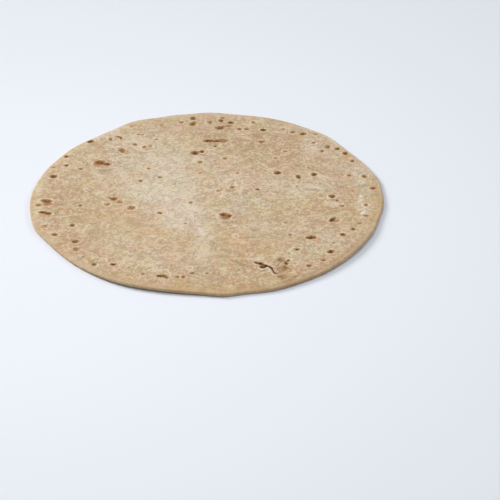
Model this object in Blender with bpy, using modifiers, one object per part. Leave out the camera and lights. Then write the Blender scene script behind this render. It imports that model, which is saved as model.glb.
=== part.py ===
"""Saj bread: one thin round flatbread as it comes off a domed griddle, lying flat on its underside.

The bread is a disc of dough of even thickness. A square grid is drawn out into a round sheet,
its outline wanders a little as hand-stretched dough does, its rim lifts off the table in places,
and broad low swells show where steam has puffed the face. The sheet is extruded to the bread's
thickness and its rim is rounded. Metres, +Z up, origin at the middle of the base.
"""

import math

import bmesh
import bpy

# Driving dimensions, in metres
DIAMETER = 0.300
THICKNESS = 0.0030
RIM_ROUNDING = 0.0012

# Mesh fineness
GRID_CELLS = 40
ROUNDING_SEGMENTS = 3

# The outline's slow wander: turns per circle, height in metres, direction of the crest in degrees
OUTLINE_WAVES = (
    (2, 0.0011, 105.0),
    (3, 0.0015, 79.0),
    (4, 0.0006, 8.0),
    (6, 0.0007, 1.0),
)
# Short bumps and flats along the rim: direction and half-width in degrees, height in metres
OUTLINE_BUMPS = (
    (10.0, 5.0, 0.0012),
    (31.0, 7.0, -0.0014),
    (44.0, 6.0, 0.0016),
    (80.0, 8.0, -0.0016),
    (91.0, 6.0, 0.0010),
    (99.0, 5.0, -0.0013),
    (109.0, 4.0, -0.0012),
    (119.0, 5.0, 0.0019),
    (132.0, 8.0, -0.0008),
    (146.0, 7.0, 0.0021),
    (159.0, 8.0, 0.0013),
    (201.0, 6.0, 0.0014),
    (215.0, 9.0, -0.0009),
    (243.0, 9.0, 0.0009),
    (264.0, 8.0, -0.0007),
    (276.0, 4.0, 0.0020),
    (291.0, 6.0, 0.0012),
    (345.0, 6.0, -0.0012),
)
# Stretches of rim that stand off the table: direction and half-width in degrees, height in metres
RIM_LIFTS = (
    (30.0, 20.0, 0.0006),
    (112.0, 18.0, 0.0005),
    (186.0, 22.0, 0.0009),
    (250.0, 20.0, 0.0014),
    (328.0, 22.0, 0.0011),
)
LIFT_STARTS_AT = 0.66  # share of the radius inside which the underside lies flat

# Broad low swells of the face: centre x, y and half-width in millimetres, height in millimetres
FACE_SWELLS = (
    (-92.0, 62.0, 17.0, 0.55),
    (-20.0, 92.0, 20.0, 0.40),
    (44.0, 104.0, 16.0, 0.35),
    (88.0, 66.0, 18.0, 0.45),
    (112.0, 8.0, 15.0, 0.40),
    (16.0, -40.0, 14.0, 0.45),
    (-76.0, -10.0, 16.0, 0.40),
    (-104.0, -62.0, 18.0, 0.35),
    (-24.0, -112.0, 17.0, 0.45),
    (52.0, -104.0, 20.0, 0.50),
    (66.0, -40.0, 22.0, 0.40),
    (-12.0, 14.0, 26.0, -0.30),
    (30.0, 40.0, 24.0, 0.25),
)
MM = 0.001


def clear_scene():
    """Removes every object the file opened with."""
    for obj in list(bpy.data.objects):
        bpy.data.objects.remove(obj, do_unlink=True)


def bell(distance, half_width):
    """A smooth hump: 1 at distance 0, and near 0 beyond twice the half-width."""
    return math.exp(-((distance / half_width) ** 2))


def turn_between(angle, degrees):
    """The angle in degrees from a direction in degrees to an angle in radians, by the shorter way."""
    return (math.degrees(angle) - degrees + 180.0) % 360.0 - 180.0


def round_from_square(u, v):
    """Polar place on a unit disc of a point of the square -1..1 by -1..1, by concentric squares."""
    if u == 0.0 and v == 0.0:
        return 0.0, 0.0
    if abs(u) > abs(v):
        return abs(u), math.pi / 4.0 * (v / u) + (math.pi if u < 0.0 else 0.0)
    return abs(v), math.pi / 2.0 - math.pi / 4.0 * (u / v) + (math.pi if v < 0.0 else 0.0)


def rim_radius(angle):
    """The bread's radius in a direction: half the diameter, its slow waves and its bumps."""
    radius = DIAMETER / 2.0
    for turns, height, crest in OUTLINE_WAVES:
        radius += height * math.cos(turns * (angle - math.radians(crest)))
    for direction, half_width, height in OUTLINE_BUMPS:
        radius += height * bell(turn_between(angle, direction), half_width)
    return radius


def underside_height(share, angle):
    """Height of the underside: 0 in the flat middle, rising to the lifts of the rim."""
    rise = sum(h * bell(turn_between(angle, d), w) for d, w, h in RIM_LIFTS)
    out = max(0.0, (share - LIFT_STARTS_AT) / (1.0 - LIFT_STARTS_AT))
    return rise * out * out


def swell_height(x, y):
    """Height that the broad swells add to the upper face."""
    total = 0.0
    for centre_x, centre_y, half_width, height in FACE_SWELLS:
        distance = math.hypot(x - centre_x * MM, y - centre_y * MM)
        total += height * MM * bell(distance, half_width * MM)
    return total


def centred_in_plan(vertices):
    """Moves the vertices in plan so that the middle of their box lies over the origin."""
    xs = [v.co.x for v in vertices]
    ys = [v.co.y for v in vertices]
    middle_x = (min(xs) + max(xs)) / 2.0
    middle_y = (min(ys) + max(ys)) / 2.0
    for vertex in vertices:
        vertex.co.x -= middle_x
        vertex.co.y -= middle_y


def bread_mesh():
    """The round sheet, extruded upwards to the bread's thickness."""
    bm = bmesh.new()
    bmesh.ops.create_grid(bm, x_segments=GRID_CELLS, y_segments=GRID_CELLS, size=1.0)
    for vertex in bm.verts:
        share, angle = round_from_square(vertex.co.x, vertex.co.y)
        radius = share * rim_radius(angle)
        vertex.co = (
            radius * math.cos(angle),
            radius * math.sin(angle),
            underside_height(share, angle),
        )
    grown = bmesh.ops.extrude_face_region(bm, geom=bm.faces[:])
    upper = [item for item in grown["geom"] if isinstance(item, bmesh.types.BMVert)]
    for vertex in upper:
        vertex.co.z += THICKNESS + swell_height(vertex.co.x, vertex.co.y)
    centred_in_plan(bm.verts)
    bmesh.ops.recalc_face_normals(bm, faces=bm.faces[:])
    mesh = bpy.data.meshes.new("saj_bread")
    bm.to_mesh(mesh)
    bm.free()
    mesh.shade_smooth()
    return mesh


def toasted_dough():
    """Wheat-coloured baked dough, matt."""
    material = bpy.data.materials.new("toasted_dough")
    material.use_nodes = True
    shader = material.node_tree.nodes["Principled BSDF"]
    shader.inputs["Base Color"].default_value = (0.60, 0.45, 0.29, 1.0)
    shader.inputs["Roughness"].default_value = 0.85
    shader.inputs["Metallic"].default_value = 0.0
    return material


def round_the_rim(bread):
    """Rounds the two square edges of the rim and leaves the gentle faces alone."""
    rounding = bread.modifiers.new("rim_rounding", "BEVEL")
    rounding.limit_method = "ANGLE"
    rounding.angle_limit = math.radians(50.0)
    rounding.width = RIM_ROUNDING
    rounding.segments = ROUNDING_SEGMENTS


def main():
    clear_scene()
    collection = bpy.data.collections.new("saj_bread")
    bpy.context.scene.collection.children.link(collection)
    bread = bpy.data.objects.new("bread", bread_mesh())
    collection.objects.link(bread)
    bread.data.materials.append(toasted_dough())
    round_the_rim(bread)


main()
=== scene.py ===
"""Saj bread: the looks of one thin round flatbread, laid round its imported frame.

The face, the rim and the underside are one closed sheet, worked out with numpy: a square grid drawn
out into a disc, the same again for the underside, and a rounded rim between them. Toasted marks,
blisters, a torn blister and the fine relief of the dough are in the mesh. Their colours are shader
groups that read where a point lies within its nearest mark.

Tables and relief are in millimetres in the part's frame: +X right, -Y towards the camera, +Z up,
origin at the middle of the base. The mesh is in metres.
"""

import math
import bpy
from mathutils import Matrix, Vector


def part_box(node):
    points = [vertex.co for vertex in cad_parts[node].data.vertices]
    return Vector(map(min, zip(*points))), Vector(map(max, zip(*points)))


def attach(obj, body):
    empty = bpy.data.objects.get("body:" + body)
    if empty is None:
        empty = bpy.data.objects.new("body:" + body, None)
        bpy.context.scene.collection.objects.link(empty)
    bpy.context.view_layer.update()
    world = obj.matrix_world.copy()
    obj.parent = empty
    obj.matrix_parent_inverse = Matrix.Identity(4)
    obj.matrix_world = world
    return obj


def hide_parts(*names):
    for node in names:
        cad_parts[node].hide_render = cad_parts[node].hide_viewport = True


bl_info = {
    "name": "Saj Bread Finish",
    "version": (1, 0, 0),
    "blender": (4, 5, 0),
    "location": "3D View > Sidebar > Saj Bread",
    "description": "Makes a thin round flatbread with toasted marks and flour, and its studio stage",
    "category": "Object",
}

from typing import NamedTuple

import bpy
import numpy as np
from bpy.props import FloatProperty, FloatVectorProperty, PointerProperty
from bpy.types import Operator, Panel, PropertyGroup
from mathutils import Matrix, Vector

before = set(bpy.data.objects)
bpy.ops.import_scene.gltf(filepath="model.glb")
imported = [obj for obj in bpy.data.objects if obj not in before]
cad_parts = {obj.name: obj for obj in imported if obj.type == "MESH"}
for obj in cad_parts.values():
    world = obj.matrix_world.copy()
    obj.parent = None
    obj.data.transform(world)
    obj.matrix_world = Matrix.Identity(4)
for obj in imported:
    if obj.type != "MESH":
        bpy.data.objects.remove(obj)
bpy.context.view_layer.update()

MM = 0.001
NODE = "bread"

# ---------------------------------------------------------------- the bread's form, as the frame's

DIAMETER = 300.0
THICKNESS = 3.0
# The outline's slow wander: turns per circle, height, direction of the crest in degrees
OUTLINE_WAVES = (
    (2, 1.1, 105), (3, 1.5, 79), (4, 0.6, 8), (6, 0.7, 1),
)
# Short bumps and flats along the rim: direction and half-width in degrees, height
OUTLINE_BUMPS = (
    (10, 5, 1.2), (31, 7, -1.4), (44, 6, 1.6), (80, 8, -1.6), (91, 6, 1), (99, 5, -1.3), (109, 4, -1.2),
    (119, 5, 1.9), (132, 8, -0.8), (146, 7, 2.1), (159, 8, 1.3), (201, 6, 1.4), (215, 9, -0.9),
    (243, 9, 0.9), (264, 8, -0.7), (276, 4, 2), (291, 6, 1.2), (345, 6, -1.2),
)
# Stretches of rim that stand off the table: direction and half-width in degrees, height
RIM_LIFTS = (
    (30, 20, 0.6), (112, 18, 0.5), (186, 22, 0.9), (250, 20, 1.4), (328, 22, 1.1),
)
LIFT_STARTS_AT = 0.66  # share of the radius inside which the underside lies flat
# Broad low swells of the face: centre x, y, half-width, height
FACE_SWELLS = (
    (-92, 62, 17, 0.55), (-20, 92, 20, 0.4), (44, 104, 16, 0.35), (88, 66, 18, 0.45), (112, 8, 15, 0.4),
    (16, -40, 14, 0.45), (-76, -10, 16, 0.4), (-104, -62, 18, 0.35), (-24, -112, 17, 0.45),
    (52, -104, 20, 0.5), (66, -40, 22, 0.4), (-12, 14, 26, -0.3), (30, 40, 24, 0.25),
)

# ---------------------------------------------------------------- what the face shows

TABLES_OFF = (0.4, -0.6)  # how far off its place in these tables a thing lies, the same for all
# Toasted marks: x, y, half-length, half-width, turn in degrees, how dark, how red, how strong the painted
# highlight on its raised rim
SCORCHES = (
    (-96.8, 53.4, 3.9, 3, -8, 0.86, 0.85, 0.9), (-91.2, 50.8, 3.9, 2.1, -14, 0.78, 0.85, 0.7),
    (-98, 50.2, 3.8, 3, 0, 0.36, 0.95, 0.2), (16.2, -37.8, 3.5, 4.6, -10, 0.5, 0.7, 1),
    (13.8, -34.8, 2.5, 1.9, -12, 0.86, 0.55, 0), (18.6, -36.8, 2.5, 2.1, -28, 0.88, 0.5, 0),
    (-13, 72, 3, 2.7, 10, 0.88, 0.55, 0.7), (-7, 74.5, 1.9, 1.9, 0, 0.82, 0.35, 0.5),
    (-1.2, 94.6, 4.4, 2.2, 0, 0.92, 0.5, 0.3), (5.4, 94.4, 4.4, 2.2, 4, 0.8, 0.45, 0.3),
    (11.8, 95.4, 4.2, 3.2, 10, 0.56, 0.2, 0.2), (8.6, 120.6, 4, 3, 14, 0.7, 0.65, 0.7),
    (15.4, 123.6, 3.6, 2.4, 0, 0.4, 0.2, 0.5), (-109, 94, 2.4, 2.5, 0, 0.94, 0.25, 0.2),
    (-105.6, 90.4, 4.2, 3.4, -45, 0.13, 0.8, 0), (-79, 76.8, 4.2, 2.5, 108, 0.58, 0.4, 0.5),
    (-75.8, 73.6, 3.8, 3.2, -50, 0.2, 0.8, 0.3), (-134.4, -17, 3.6, 2.8, 0, 0.42, 0.8, 0.2),
    (-136.2, -12.8, 4, 2.3, -10, 0.82, 0.5, 0.5), (-137, -31.2, 2.7, 1.9, 0, 0.88, 0.4, 0.7),
    (-132.6, -32.6, 2.7, 1.9, -12, 0.86, 0.5, 0.4), (-134.4, -36.4, 3.6, 2.5, 0, 0.14, 0.7, 0.2),
    (-79.4, -9.3, 2.6, 2.5, 0, 0.7, 0.55, 0.5), (-74.2, -14.6, 2.2, 1.7, -30, 0.52, 0.45, 0.5),
    (-77.2, -11.4, 5, 4.2, -35, 0.12, 0.6, 0.5), (-59.4, 83.6, 1.8, 1.4, 80, 0.56, 0.4, 0.3),
    (-53.6, 85.2, 1.8, 1.4, 60, 0.46, 0.25, 0.2), (-56.4, 81.2, 4.2, 3.6, 0, 0.22, 0.35, 0.6),
    (85.2, 108.6, 2.6, 2, 22, 0.8, 0.2, 0.4), (82.2, 103.8, 4.4, 3.4, 0, 0.16, 0.65, 0),
    (107.6, -43.6, 2.5, 2.7, 0, 0.38, 0.6, 0.6), (104.6, -42.6, 3.2, 1.8, 60, 1, 0.15, 0.5),
    (60.6, 36, 2.5, 2.4, 0, 0.88, 0.75, 0.5), (-33, -127, 2.8, 1.8, -6, 0.98, 0.35, 0.2),
    (-29.4, -129, 2, 1.4, -30, 0.66, 0.4, 0.1), (-135.2, 29, 2.7, 2.2, 4, 1, 0.1, 0.7),
    (-63.6, -30.4, 2.6, 1.8, 0, 0.06, 0.5, 0), (121.4, 65, 3, 2.6, 0, 0.1, 0.9, 0),
    (143, 7, 2.4, 1.8, -40, 0.12, 0.7, 0),
)
# Small dark eyes, most of them burst bubbles with a painted highlight on the raised rim: the same eight
# values
EYES = (
    (-128, 66, 1.7, 2.2, 4, 0.82, 0.1, 0.4), (-126, 49, 1.5, 1.6, -20, 0.8, 0.1, 0.6),
    (-91, 98, 1.4, 2.5, 0, 0.66, 0.2, 0.5), (-83.7, 102.4, 2.6, 1.4, -24, 0.72, 0.1, 0.4),
    (-81.6, 99.6, 1.1, 1.9, 10, 0.6, 0.1, 0.3), (48.5, 115.6, 2.1, 2, 0, 1, 0.05, 0.7),
    (18.2, 130.6, 2.4, 1.8, -6, 0.95, 0.35, 0.6), (9.2, 134.2, 1.8, 2.4, 4, 0.85, 0.2, 0.6),
    (-17, 139, 2.3, 3, 0, 0.72, 0.1, 0.2), (-16.6, 128, 2.5, 3.6, -24, 0.68, 0.15, 0.3),
    (75.6, 112, 1.6, 2, 0, 0.58, 0.55, 0.5), (115, 79.2, 2, 2, -30, 0.85, 0.1, 0.5),
    (121.6, 70.6, 1.9, 2.2, 0, 0.85, 0.4, 0.2), (127, 56.6, 1.3, 1.9, 0, 0.84, 0.25, 0.5),
    (78.6, 29.2, 1.6, 2.7, 18, 0.9, 0.1, 0.5), (92.2, 33, 2, 2.1, 20, 0.95, 0.15, 0.9),
    (136.2, 29.6, 2, 2.2, 0, 0.68, 0.2, 0.5), (142, 9.4, 2, 2, 0, 0.72, 0.45, 0.3),
    (106.2, -4.8, 2.3, 2.3, 0, 0.78, 0.2, 0.5), (-105.2, -76.4, 2.4, 2.1, -30, 0.78, 0.1, 0.1),
    (-103.5, -88, 2.2, 2.3, 0, 0.56, 0.15, 0.2), (-123, -66, 2.3, 1.6, -20, 0.68, 0.15, 0.3),
    (-110.2, -51.6, 1.7, 1.7, 0, 0.82, 0.1, 0.5), (-87, -110.4, 1.7, 1.9, 0, 0.72, 0.1, 0.3),
    (-71.6, -110.4, 1.9, 1.4, 0, 0.95, 0.05, 0.5), (-39, -31.4, 1.8, 1.3, -10, 0.78, 0.05, 0.7),
    (-63.2, -23.4, 2.7, 2.5, 0, 0.56, 0.15, 0.7), (101.2, 75.2, 1.6, 2, 0, 0.64, 0.15, 0.2),
    (106.6, 83.2, 1.8, 2.6, 0, 0.62, 0.2, 0.2), (94, 91, 1.4, 1.2, 0, 0.6, 0.05, 0.5),
    (134.2, -18.8, 1.7, 1.8, 0, 0.64, 0.1, 0.9), (132.8, -36.4, 1.6, 1.6, 20, 0.52, 0, 0.3),
    (46.6, 93, 2.2, 1.8, 0, 0.68, 0.05, 0.5), (-142, -19.6, 2.1, 1.9, 0, 0.56, 0.5, 0.4),
    (26, 118, 1.9, 1.3, -8, 0.84, 0.05, 0.3), (33.6, 118, 1.9, 1.6, 8, 0.78, 0.05, 0.2),
)
# Pinholes and faint flecks: x, y, radius, how dark, how red, how strong the painted highlight on its rim
PINHOLES = (
    (-66, 107.2, 1.2, 0.55, 0.1, 0.4), (-62.4, 107, 1.2, 0.55, 0.1, 0.4),
    (-68, 88.2, 2.1, 0.52, 0.1, 0.2), (-49, 98, 1, 0.55, 0.05, 0.3), (-112.6, 43, 1.7, 0.52, 0.1, 0.3),
    (-137, 46, 1.5, 0.46, 0.1, 0.2), (-73, 123.6, 1.4, 0.3, 0.5, 0.1), (-46, 125, 1.4, 0.34, 0.2, 0.1),
    (-53, 44, 1.4, 0.52, 0.2, 0.5), (-42, 29, 1.4, 0.6, 0.05, 0.4), (-59, 22, 1.6, 0.6, 0.4, 0.7),
    (-27.6, 131, 1.8, 0.62, 0.3, 0.5), (10.6, 140, 1.8, 0.56, 0.6, 0.4), (39.6, 131, 1.7, 0.52, 0.5, 0.6),
    (-1, 131.6, 2.4, 0.52, 0, 0.2), (67, 118, 1.3, 0.5, 0.2, 0.2), (97, 108, 1.8, 0.44, 0, 0.4),
    (5, 85, 1.4, 0.66, 0.05, 0.4), (-8, 55.6, 2, 0.48, 0.1, 0.3), (14, 62, 1.4, 0.66, 0.1, 0.3),
    (5, 58, 1.1, 0.34, 0.1, 0.3), (68, 75, 1.2, 0.56, 0.1, 0.5), (59.6, 63, 1.3, 0.46, 0.1, 0.3),
    (88, 45.6, 0.9, 0.6, 0.2, 0.4), (123, 31.6, 1.7, 0.62, 0.5, 0.5), (124, 5, 1.2, 0.3, 0.5, 0.2),
    (-7, 37, 1.3, 0.42, 0.4, 0.5), (25.6, 35.6, 1.2, 0.58, 0.2, 0.4), (9, 6, 1.3, 0.66, 0, 0.6),
    (21, 11.6, 1.4, 0.64, 0.2, 0.4), (43, 7.6, 1.5, 0.68, 0.1, 0.4), (55, 13, 0.9, 0.4, 0.1, 0.3),
    (77, 13, 1.1, 0.38, 0.05, 0.4), (-13.6, -14, 1.7, 0.46, 0.1, 0.6), (-84, -18, 1.9, 0.46, 0.3, 0.5),
    (-107, -19, 1.3, 0.68, 0.1, 0.5), (-17, -48, 0.9, 0.62, 0.1, 0.6), (110.4, -11.6, 1.3, 0.6, 0.1, 0.6),
    (113.8, -20.2, 1.3, 0.5, 0.2, 0.6), (66, -47, 1.4, 0.44, 0.1, 0.3), (-133, -53, 2.3, 0.44, 0.4, 0.3),
    (-47.6, -124, 1.2, 0.48, 0.1, 0.4), (-20, -128, 1.1, 0.6, 0.1, 0.3),
    (-15.8, -128, 1.3, 0.7, 0.1, 0.3), (-9, -122.6, 1.3, 0.58, 0.1, 0.4), (3, -123, 1.1, 0.52, 0.1, 0.5),
    (-57, -106, 1.1, 0.24, 0.2, 0.3), (59, 27, 0.9, 0.28, 0.1, 0.3), (100, 22, 0.9, 0.24, 0.1, 0.4),
    (-120, 12, 1, 0.28, 0.2, 0.2), (-83.5, -6.9, 1.9, 0.44, 0.05, 0.2),
    (-79.8, -2.2, 1.8, 0.26, 0.6, 0.4), (30, -60, 1, 0.3, 0.1, 0.1), (-30, -62, 0.8, 0.18, 0.1, 0.3),
)
# More of the same at the front right
FRONT_RIGHT_MARKS = (
    (86, -70, 3.2, 2.3, 20, 0.85, 0.7, 0.4), (89.6, -73, 3.4, 2.6, -30, 0.06, 1, 0.2),
    (112, -66, 2, 1.6, 0, 0.85, 0.2, 0.5), (121, -58, 1.6, 1.8, 0, 0.7, 0.3, 0.4),
    (74, -88, 1.8, 1.5, 0, 0.7, 0.1, 0.6), (101, -92, 2.4, 1.8, 30, 0.9, 0.4, 0.4),
    (83, -112, 1.7, 1.5, 0, 0.75, 0.15, 0.4), (94.6, -104, 1.4, 1.3, 0, 0.55, 0.3, 0.4),
    (127, -48, 1.5, 1.3, 0, 0.55, 0.1, 0.3), (69, -66, 1.3, 1.2, 0, 0.5, 0.1, 0.4),
    (104, -78, 1.2, 1.1, 0, 0.45, 0.2, 0.3), (72, -127, 1.6, 1.2, 0, 0.6, 0.1, 0.3),
)
# The torn blister's split, from left to right: x, y, half-width, how dark
TEAR_PATH = (
    (39.2, -105.2, 0.5, 0), (41.3, -107.8, 1.15, 0.95), (42.9, -108.7, 0.95, 0.85),
    (44.5, -109.4, 1.15, 1), (46.8, -110.8, 0.8, 0.85), (49.2, -112.6, 0.75, 0.9), (51.5, -114.4, 0.8, 1),
    (53.3, -116.3, 0.8, 1), (53.9, -118.3, 0.55, 0.9), (54.7, -120.5, 0.55, 0.9),
    (55.9, -122.8, 0.6, 0.95), (57.4, -123.6, 0.5, 0.6), (59, -124.3, 0.5, 0),
)
# Its hollow, pits and brown folds, as marks that are cut deep: the eight values and a depth
TORN_BLISTER = (
    (46.9, -114.1, 2.2, 1.9, 4, 1, 0.35, 1, 1.4), (45, -111.6, 2.6, 1.4, -30, 0.34, 0.5, 0, 0.5),
    (64.8, -108.4, 1.3, 1.7, 10, 1, 0.05, 1, 1.2), (66.8, -105, 1.3, 1, 40, 0.85, 0.1, 1, 0.8),
    (61.2, -104.2, 3, 3.2, 30, 0.48, 0.1, 0.3, 0.4), (62, -128.2, 3, 2.6, 60, 0.44, 0.4, 0.1, 0.2),
    (64.2, -115.2, 2, 2.8, 0, 0.56, 0.4, 0.1, 0.4), (59.4, -127.2, 1.8, 1.3, 30, 0.34, 0.3, 0.2, 0.2),
    (60.4, -116.8, 4.6, 4.2, 0, 0.28, 0.45, 0, 0),
)
# Raised lips, puckers and blister walls, and creases, whose height is below 0: x, y, half-length,
# half-width, turn in degrees, bend, height
RIDGES = (
    (43.7, -104.2, 4.6, 1.5, -12, 0.2, 0.42), (46.6, -117.2, 3.4, 1, -4, 0.6, 0.44),
    (51.2, -117.2, 3.2, 0.9, -36, 0, 0.36), (64, -105.6, 3.6, 1.2, 50, 0.3, 0.36),
    (67.4, -112, 3.4, 1.2, 80, 0.2, 0.3), (57.4, -110.4, 3.4, 0.8, 62, 0.1, 0.36),
    (60.2, -112.4, 4, 0.8, 82, 0.2, 0.4), (62.8, -114.6, 3.6, 0.8, 104, -0.2, 0.4),
    (60, -119.4, 3.2, 0.8, 48, 0, 0.34), (64.2, -121.4, 3.2, 0.8, 70, 0.1, 0.34),
    (57.9, -115.4, 2.8, 0.7, 26, 0, 0.3), (131.4, -31.6, 5, 1.6, 58, 0, 0.48),
    (131.2, -11.4, 2.8, 1.4, 50, 0.1, 0.42), (131.4, -4.8, 2.8, 1.2, 70, 0.1, 0.38),
    (134.2, -1.2, 3.8, 1.1, 100, -0.1, 0.38), (133.5, -23.4, 3.2, 1.1, 10, 0.4, 0.4),
    (128.4, -41, 3.2, 1.2, 58, 0, 0.34), (109, -8, 3.4, 1.2, 16, 0.4, 0.38),
    (104, -15, 3.8, 1.3, -14, 0.4, 0.38), (110.4, -21.4, 3.4, 1.2, 8, -0.4, 0.38),
    (115.4, -14.8, 3.2, 1.1, 100, 0.3, 0.36), (-103.8, 54, 1.3, 8, 8, 0.5, 0.26),
    (-95, 42.6, 11, 1.4, 6, 0.5, 0.24), (88, 8.6, 8, 1.3, -18, 0.3, 0.24),
    (21.8, -96.3, 5.6, 1.6, -24, -0.6, 0.28), (17, -25, 5, 1.3, -8, 0.4, 0.26),
    (29.8, 113.2, 5.2, 1.3, 0, 0.6, 0.22), (17, -46.8, 9, 1.4, 2, 0.2, -0.36),
    (58, -30, 9, 2, 24, 0.2, 0.18), (-118, 20, 10, 2, 60, 0.2, 0.16), (-60, -64, 12, 2.2, 18, 0.2, 0.16),
    (90, 60, 9, 1.8, 120, 0.3, 0.18), (-30, 108, 12, 2.2, 8, 0.2, 0.16), (4, 30, 9, 1.8, 140, 0.3, 0.16),
    (96, -84, 8, 1.5, 140, 0.3, 0.22), (80, -98, 7, 1.4, 160, 0.3, 0.2),
    (-89.8, 39.6, 6.4, 1.3, 14, 0.8, -0.38), (-107.8, 52.6, 6.6, 1.3, 104, 0.3, -0.32),
    (31, -109.4, 6.5, 1.3, -24, -0.9, -0.36), (29.7, 118.9, 3.2, 1, 0, -0.4, -0.32),
    (-85.7, 79.4, 4.6, 1.2, 110, 0.2, -0.28),
)
# Low blisters of the skin: x, y, half-length, half-width, turn, how strong the painted highlight on
# their crest, how dark the painted shade in the crease round them, height
BLISTERS = (
    (-95, 53, 15, 12, -8, 0.3, 0.95, 0.3), (17, -36.5, 11, 10, 0, 0.5, 0.8, 0.22),
    (-77, -11, 8.5, 7, -30, 0.3, 0.8, 0.18), (92, 33, 7.6, 7.2, 0, 0.8, 0.5, 0.16),
    (106.4, -5.4, 4.4, 4.2, 0, 0.9, 0.4, 0.2), (-56.5, 81.5, 7.2, 6.2, 0, 0.6, 0.55, 0.14),
    (30, 113.4, 7.4, 6.4, 0, 0.6, 0.8, 0.14), (-136, -13.6, 8.2, 6, 0, 0.8, 0.2, 0.12),
    (79, 96, 9.5, 8.5, 0, 0.45, 0.35, 0.16), (-60, 21, 8, 7, 20, 0.4, 0.3, 0.12),
    (-34, -124, 9, 6, -4, 0.8, 0.3, 0.16), (89, 9, 12, 5.5, -16, 0.6, 0.6, 0.14),
    (51, -112.5, 15, 10, -24, 0.2, 0.35, 0.4), (-8, -8, 9, 7, 10, 0.3, 0.5, 0.12),
    (-10, 60, 9, 7, 0, 0.3, 0.35, 0.12), (-131, 57, 9, 7, 40, 0.5, 0.2, 0.12),
    (60, 36, 7.5, 6.5, 0, 0.4, 0.2, 0.12), (-12, 133, 9.5, 7.5, 0, 0.5, 0.2, 0.14),
    (20, 92, 7, 6, 0, 0.3, 0.4, 0.1), (98, -86, 12, 10, 30, 0.4, 0.7, 0.24),
    (118, -60, 8, 7, 0, 0.6, 0.3, 0.16), (74, -88, 7, 6, 0, 0.5, 0.3, 0.12),
    (-104, -82, 9, 8, 30, 0.5, 0.35, 0.14), (-38, -31, 6.5, 5.5, 0, 0.7, 0.3, 0.12),
    (-84, 101, 9, 6, 20, 0.4, 0.3, 0.12), (112.2, -13.6, 3.6, 4.4, 0, 1, 0.4, 0.2),
    (107.6, -19, 4.2, 3.6, 0, 1, 0.4, 0.2), (102.4, -12.8, 3.4, 3.8, 0, 1, 0.4, 0.16),
    (132.6, -3, 3.4, 4.2, 0, 1, 0.5, 0.2), (130.6, -12.4, 2.8, 3.4, 0, 0.9, 0.3, 0.16),
    (134.8, -19.6, 3.4, 3.2, 0, 1, 0.3, 0.18), (131.6, -31.6, 4.6, 3, 40, 1, 0.9, 0.26),
)
CHANCE_BLISTERS = 240
# Soft zones of colour: x, y, half-widths along and across, turn in degrees, strength
FLOUR_AND_RIM_HIGHLIGHT_ZONES = (
    (-36, 22, 20, 46, 4, 0.8), (-30, -2, 17, 26, 12, 0.55), (-20, -36, 16, 20, 20, 0.75),
    (-6, -58, 10, 14, 20, 0.6), (-2, -84, 9, 26, 2, 0.34), (-62, 88, 26, 22, -20, 0.55),
    (-68, 44, 18, 26, 0, 0.45), (-46, 62, 14, 18, 0, 0.04), (60, 14, 14, 12, 0, 0.5),
    (92, 14, 14, 9, -16, 0.5), (74, -2, 14, 8, 10, 0.45), (92, 82, 10, 14, 30, 0.68),
    (110, 66, 9, 9, 0, 0.4), (124, 42, 10, 9, 0, 0.5), (10, 20, 26, 18, 10, 0.08),
    (42, -54, 15, 10, 20, 0.38), (-48, -100, 30, 14, -20, 0.34), (-64, -74, 14, 12, 0, 0.25),
    (-92, 110, 16, 10, 40, 0.3), (34, 18, 16, 20, 0, 0.3), (100, -76, 16, 12, 30, 0.45),
    (134, -20, 6, 16, -8, 0.3), (84, -58, 12, 9, 0, 0.3), (131.4, -31, 3, 6, -12, 0.5),
    (130.6, -6, 3.4, 9, 0, 0.5), (108, -16, 6, 6, 0, 0.6), (128, -20, 3, 8, 0, 0.4),
    (98, 30, 4, 6, 30, 0.5), (16.4, -26, 3.6, 2.8, 0, 1), (5.5, -46, 5, 2, 0, 0.6),
    (44, -102, 7, 3, -8, 0.6), (48, -118, 6, 3, 0, 0.3), (-36, -118, 8, 4, 0, 0.38),
    (-10, -124, 8, 3, 0, 0.3), (-134, -44, 4, 5, 0, 0.5), (8, 10, 4, 3, 0, 0.6), (43, 20, 5, 4, 0, 0.5),
    (-44, -28, 4, 3, 0, 0.5), (-76.5, 90.6, 2.6, 2.6, 0, 0.7), (-71.8, 82, 2, 4, 0, 0.6),
    # The long thin zones along the rim, at (-147, 20), (-30, 144), (124, 80), (-110, 96) and (96, 112),
    # lay flour's pale colour on the back and left rim as a painted highlight where the key light falls.
    (64.4, -106, 4, 1.4, 40, 1), (-147, 20, 5, 60, 6, 0.4), (-30, 144, 60, 6, 0, 0.4),
    (-46, 10, 10, 8, 0, 0.35), (-28, -50, 8, 6, 0, 0.4), (40, -12, 15, 12, 0, 0.5),
    (-60, 2, 22, 14, 0, 0.4), (26, 42, 46, 24, 0, 0.16), (-30, 60, 14, 26, 0, 0.19),
    (90, -2, 20, 16, 0, 0.08), (-92, 66, 22, 46, 0, 0.17), (-40, 2, 26, 18, 0, 0.5),
    (-17, -34, 13, 24, 0, 0.55), (30, 110, 30, 16, 0, 0.14), (-10, 66, 18, 14, 0, 0.3),
    # Painted highlight along the back rim, in flour's colour.
    (28, -20, 12, 16, 0, 0.26), (134, 26, 9, 26, 0, 0.6), (124, 80, 50, 5, 123, 0.5),
    (-110, 96, 50, 6, 49, 0.34), (96, 112, 40, 5, -41, 0.34),
)
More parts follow.
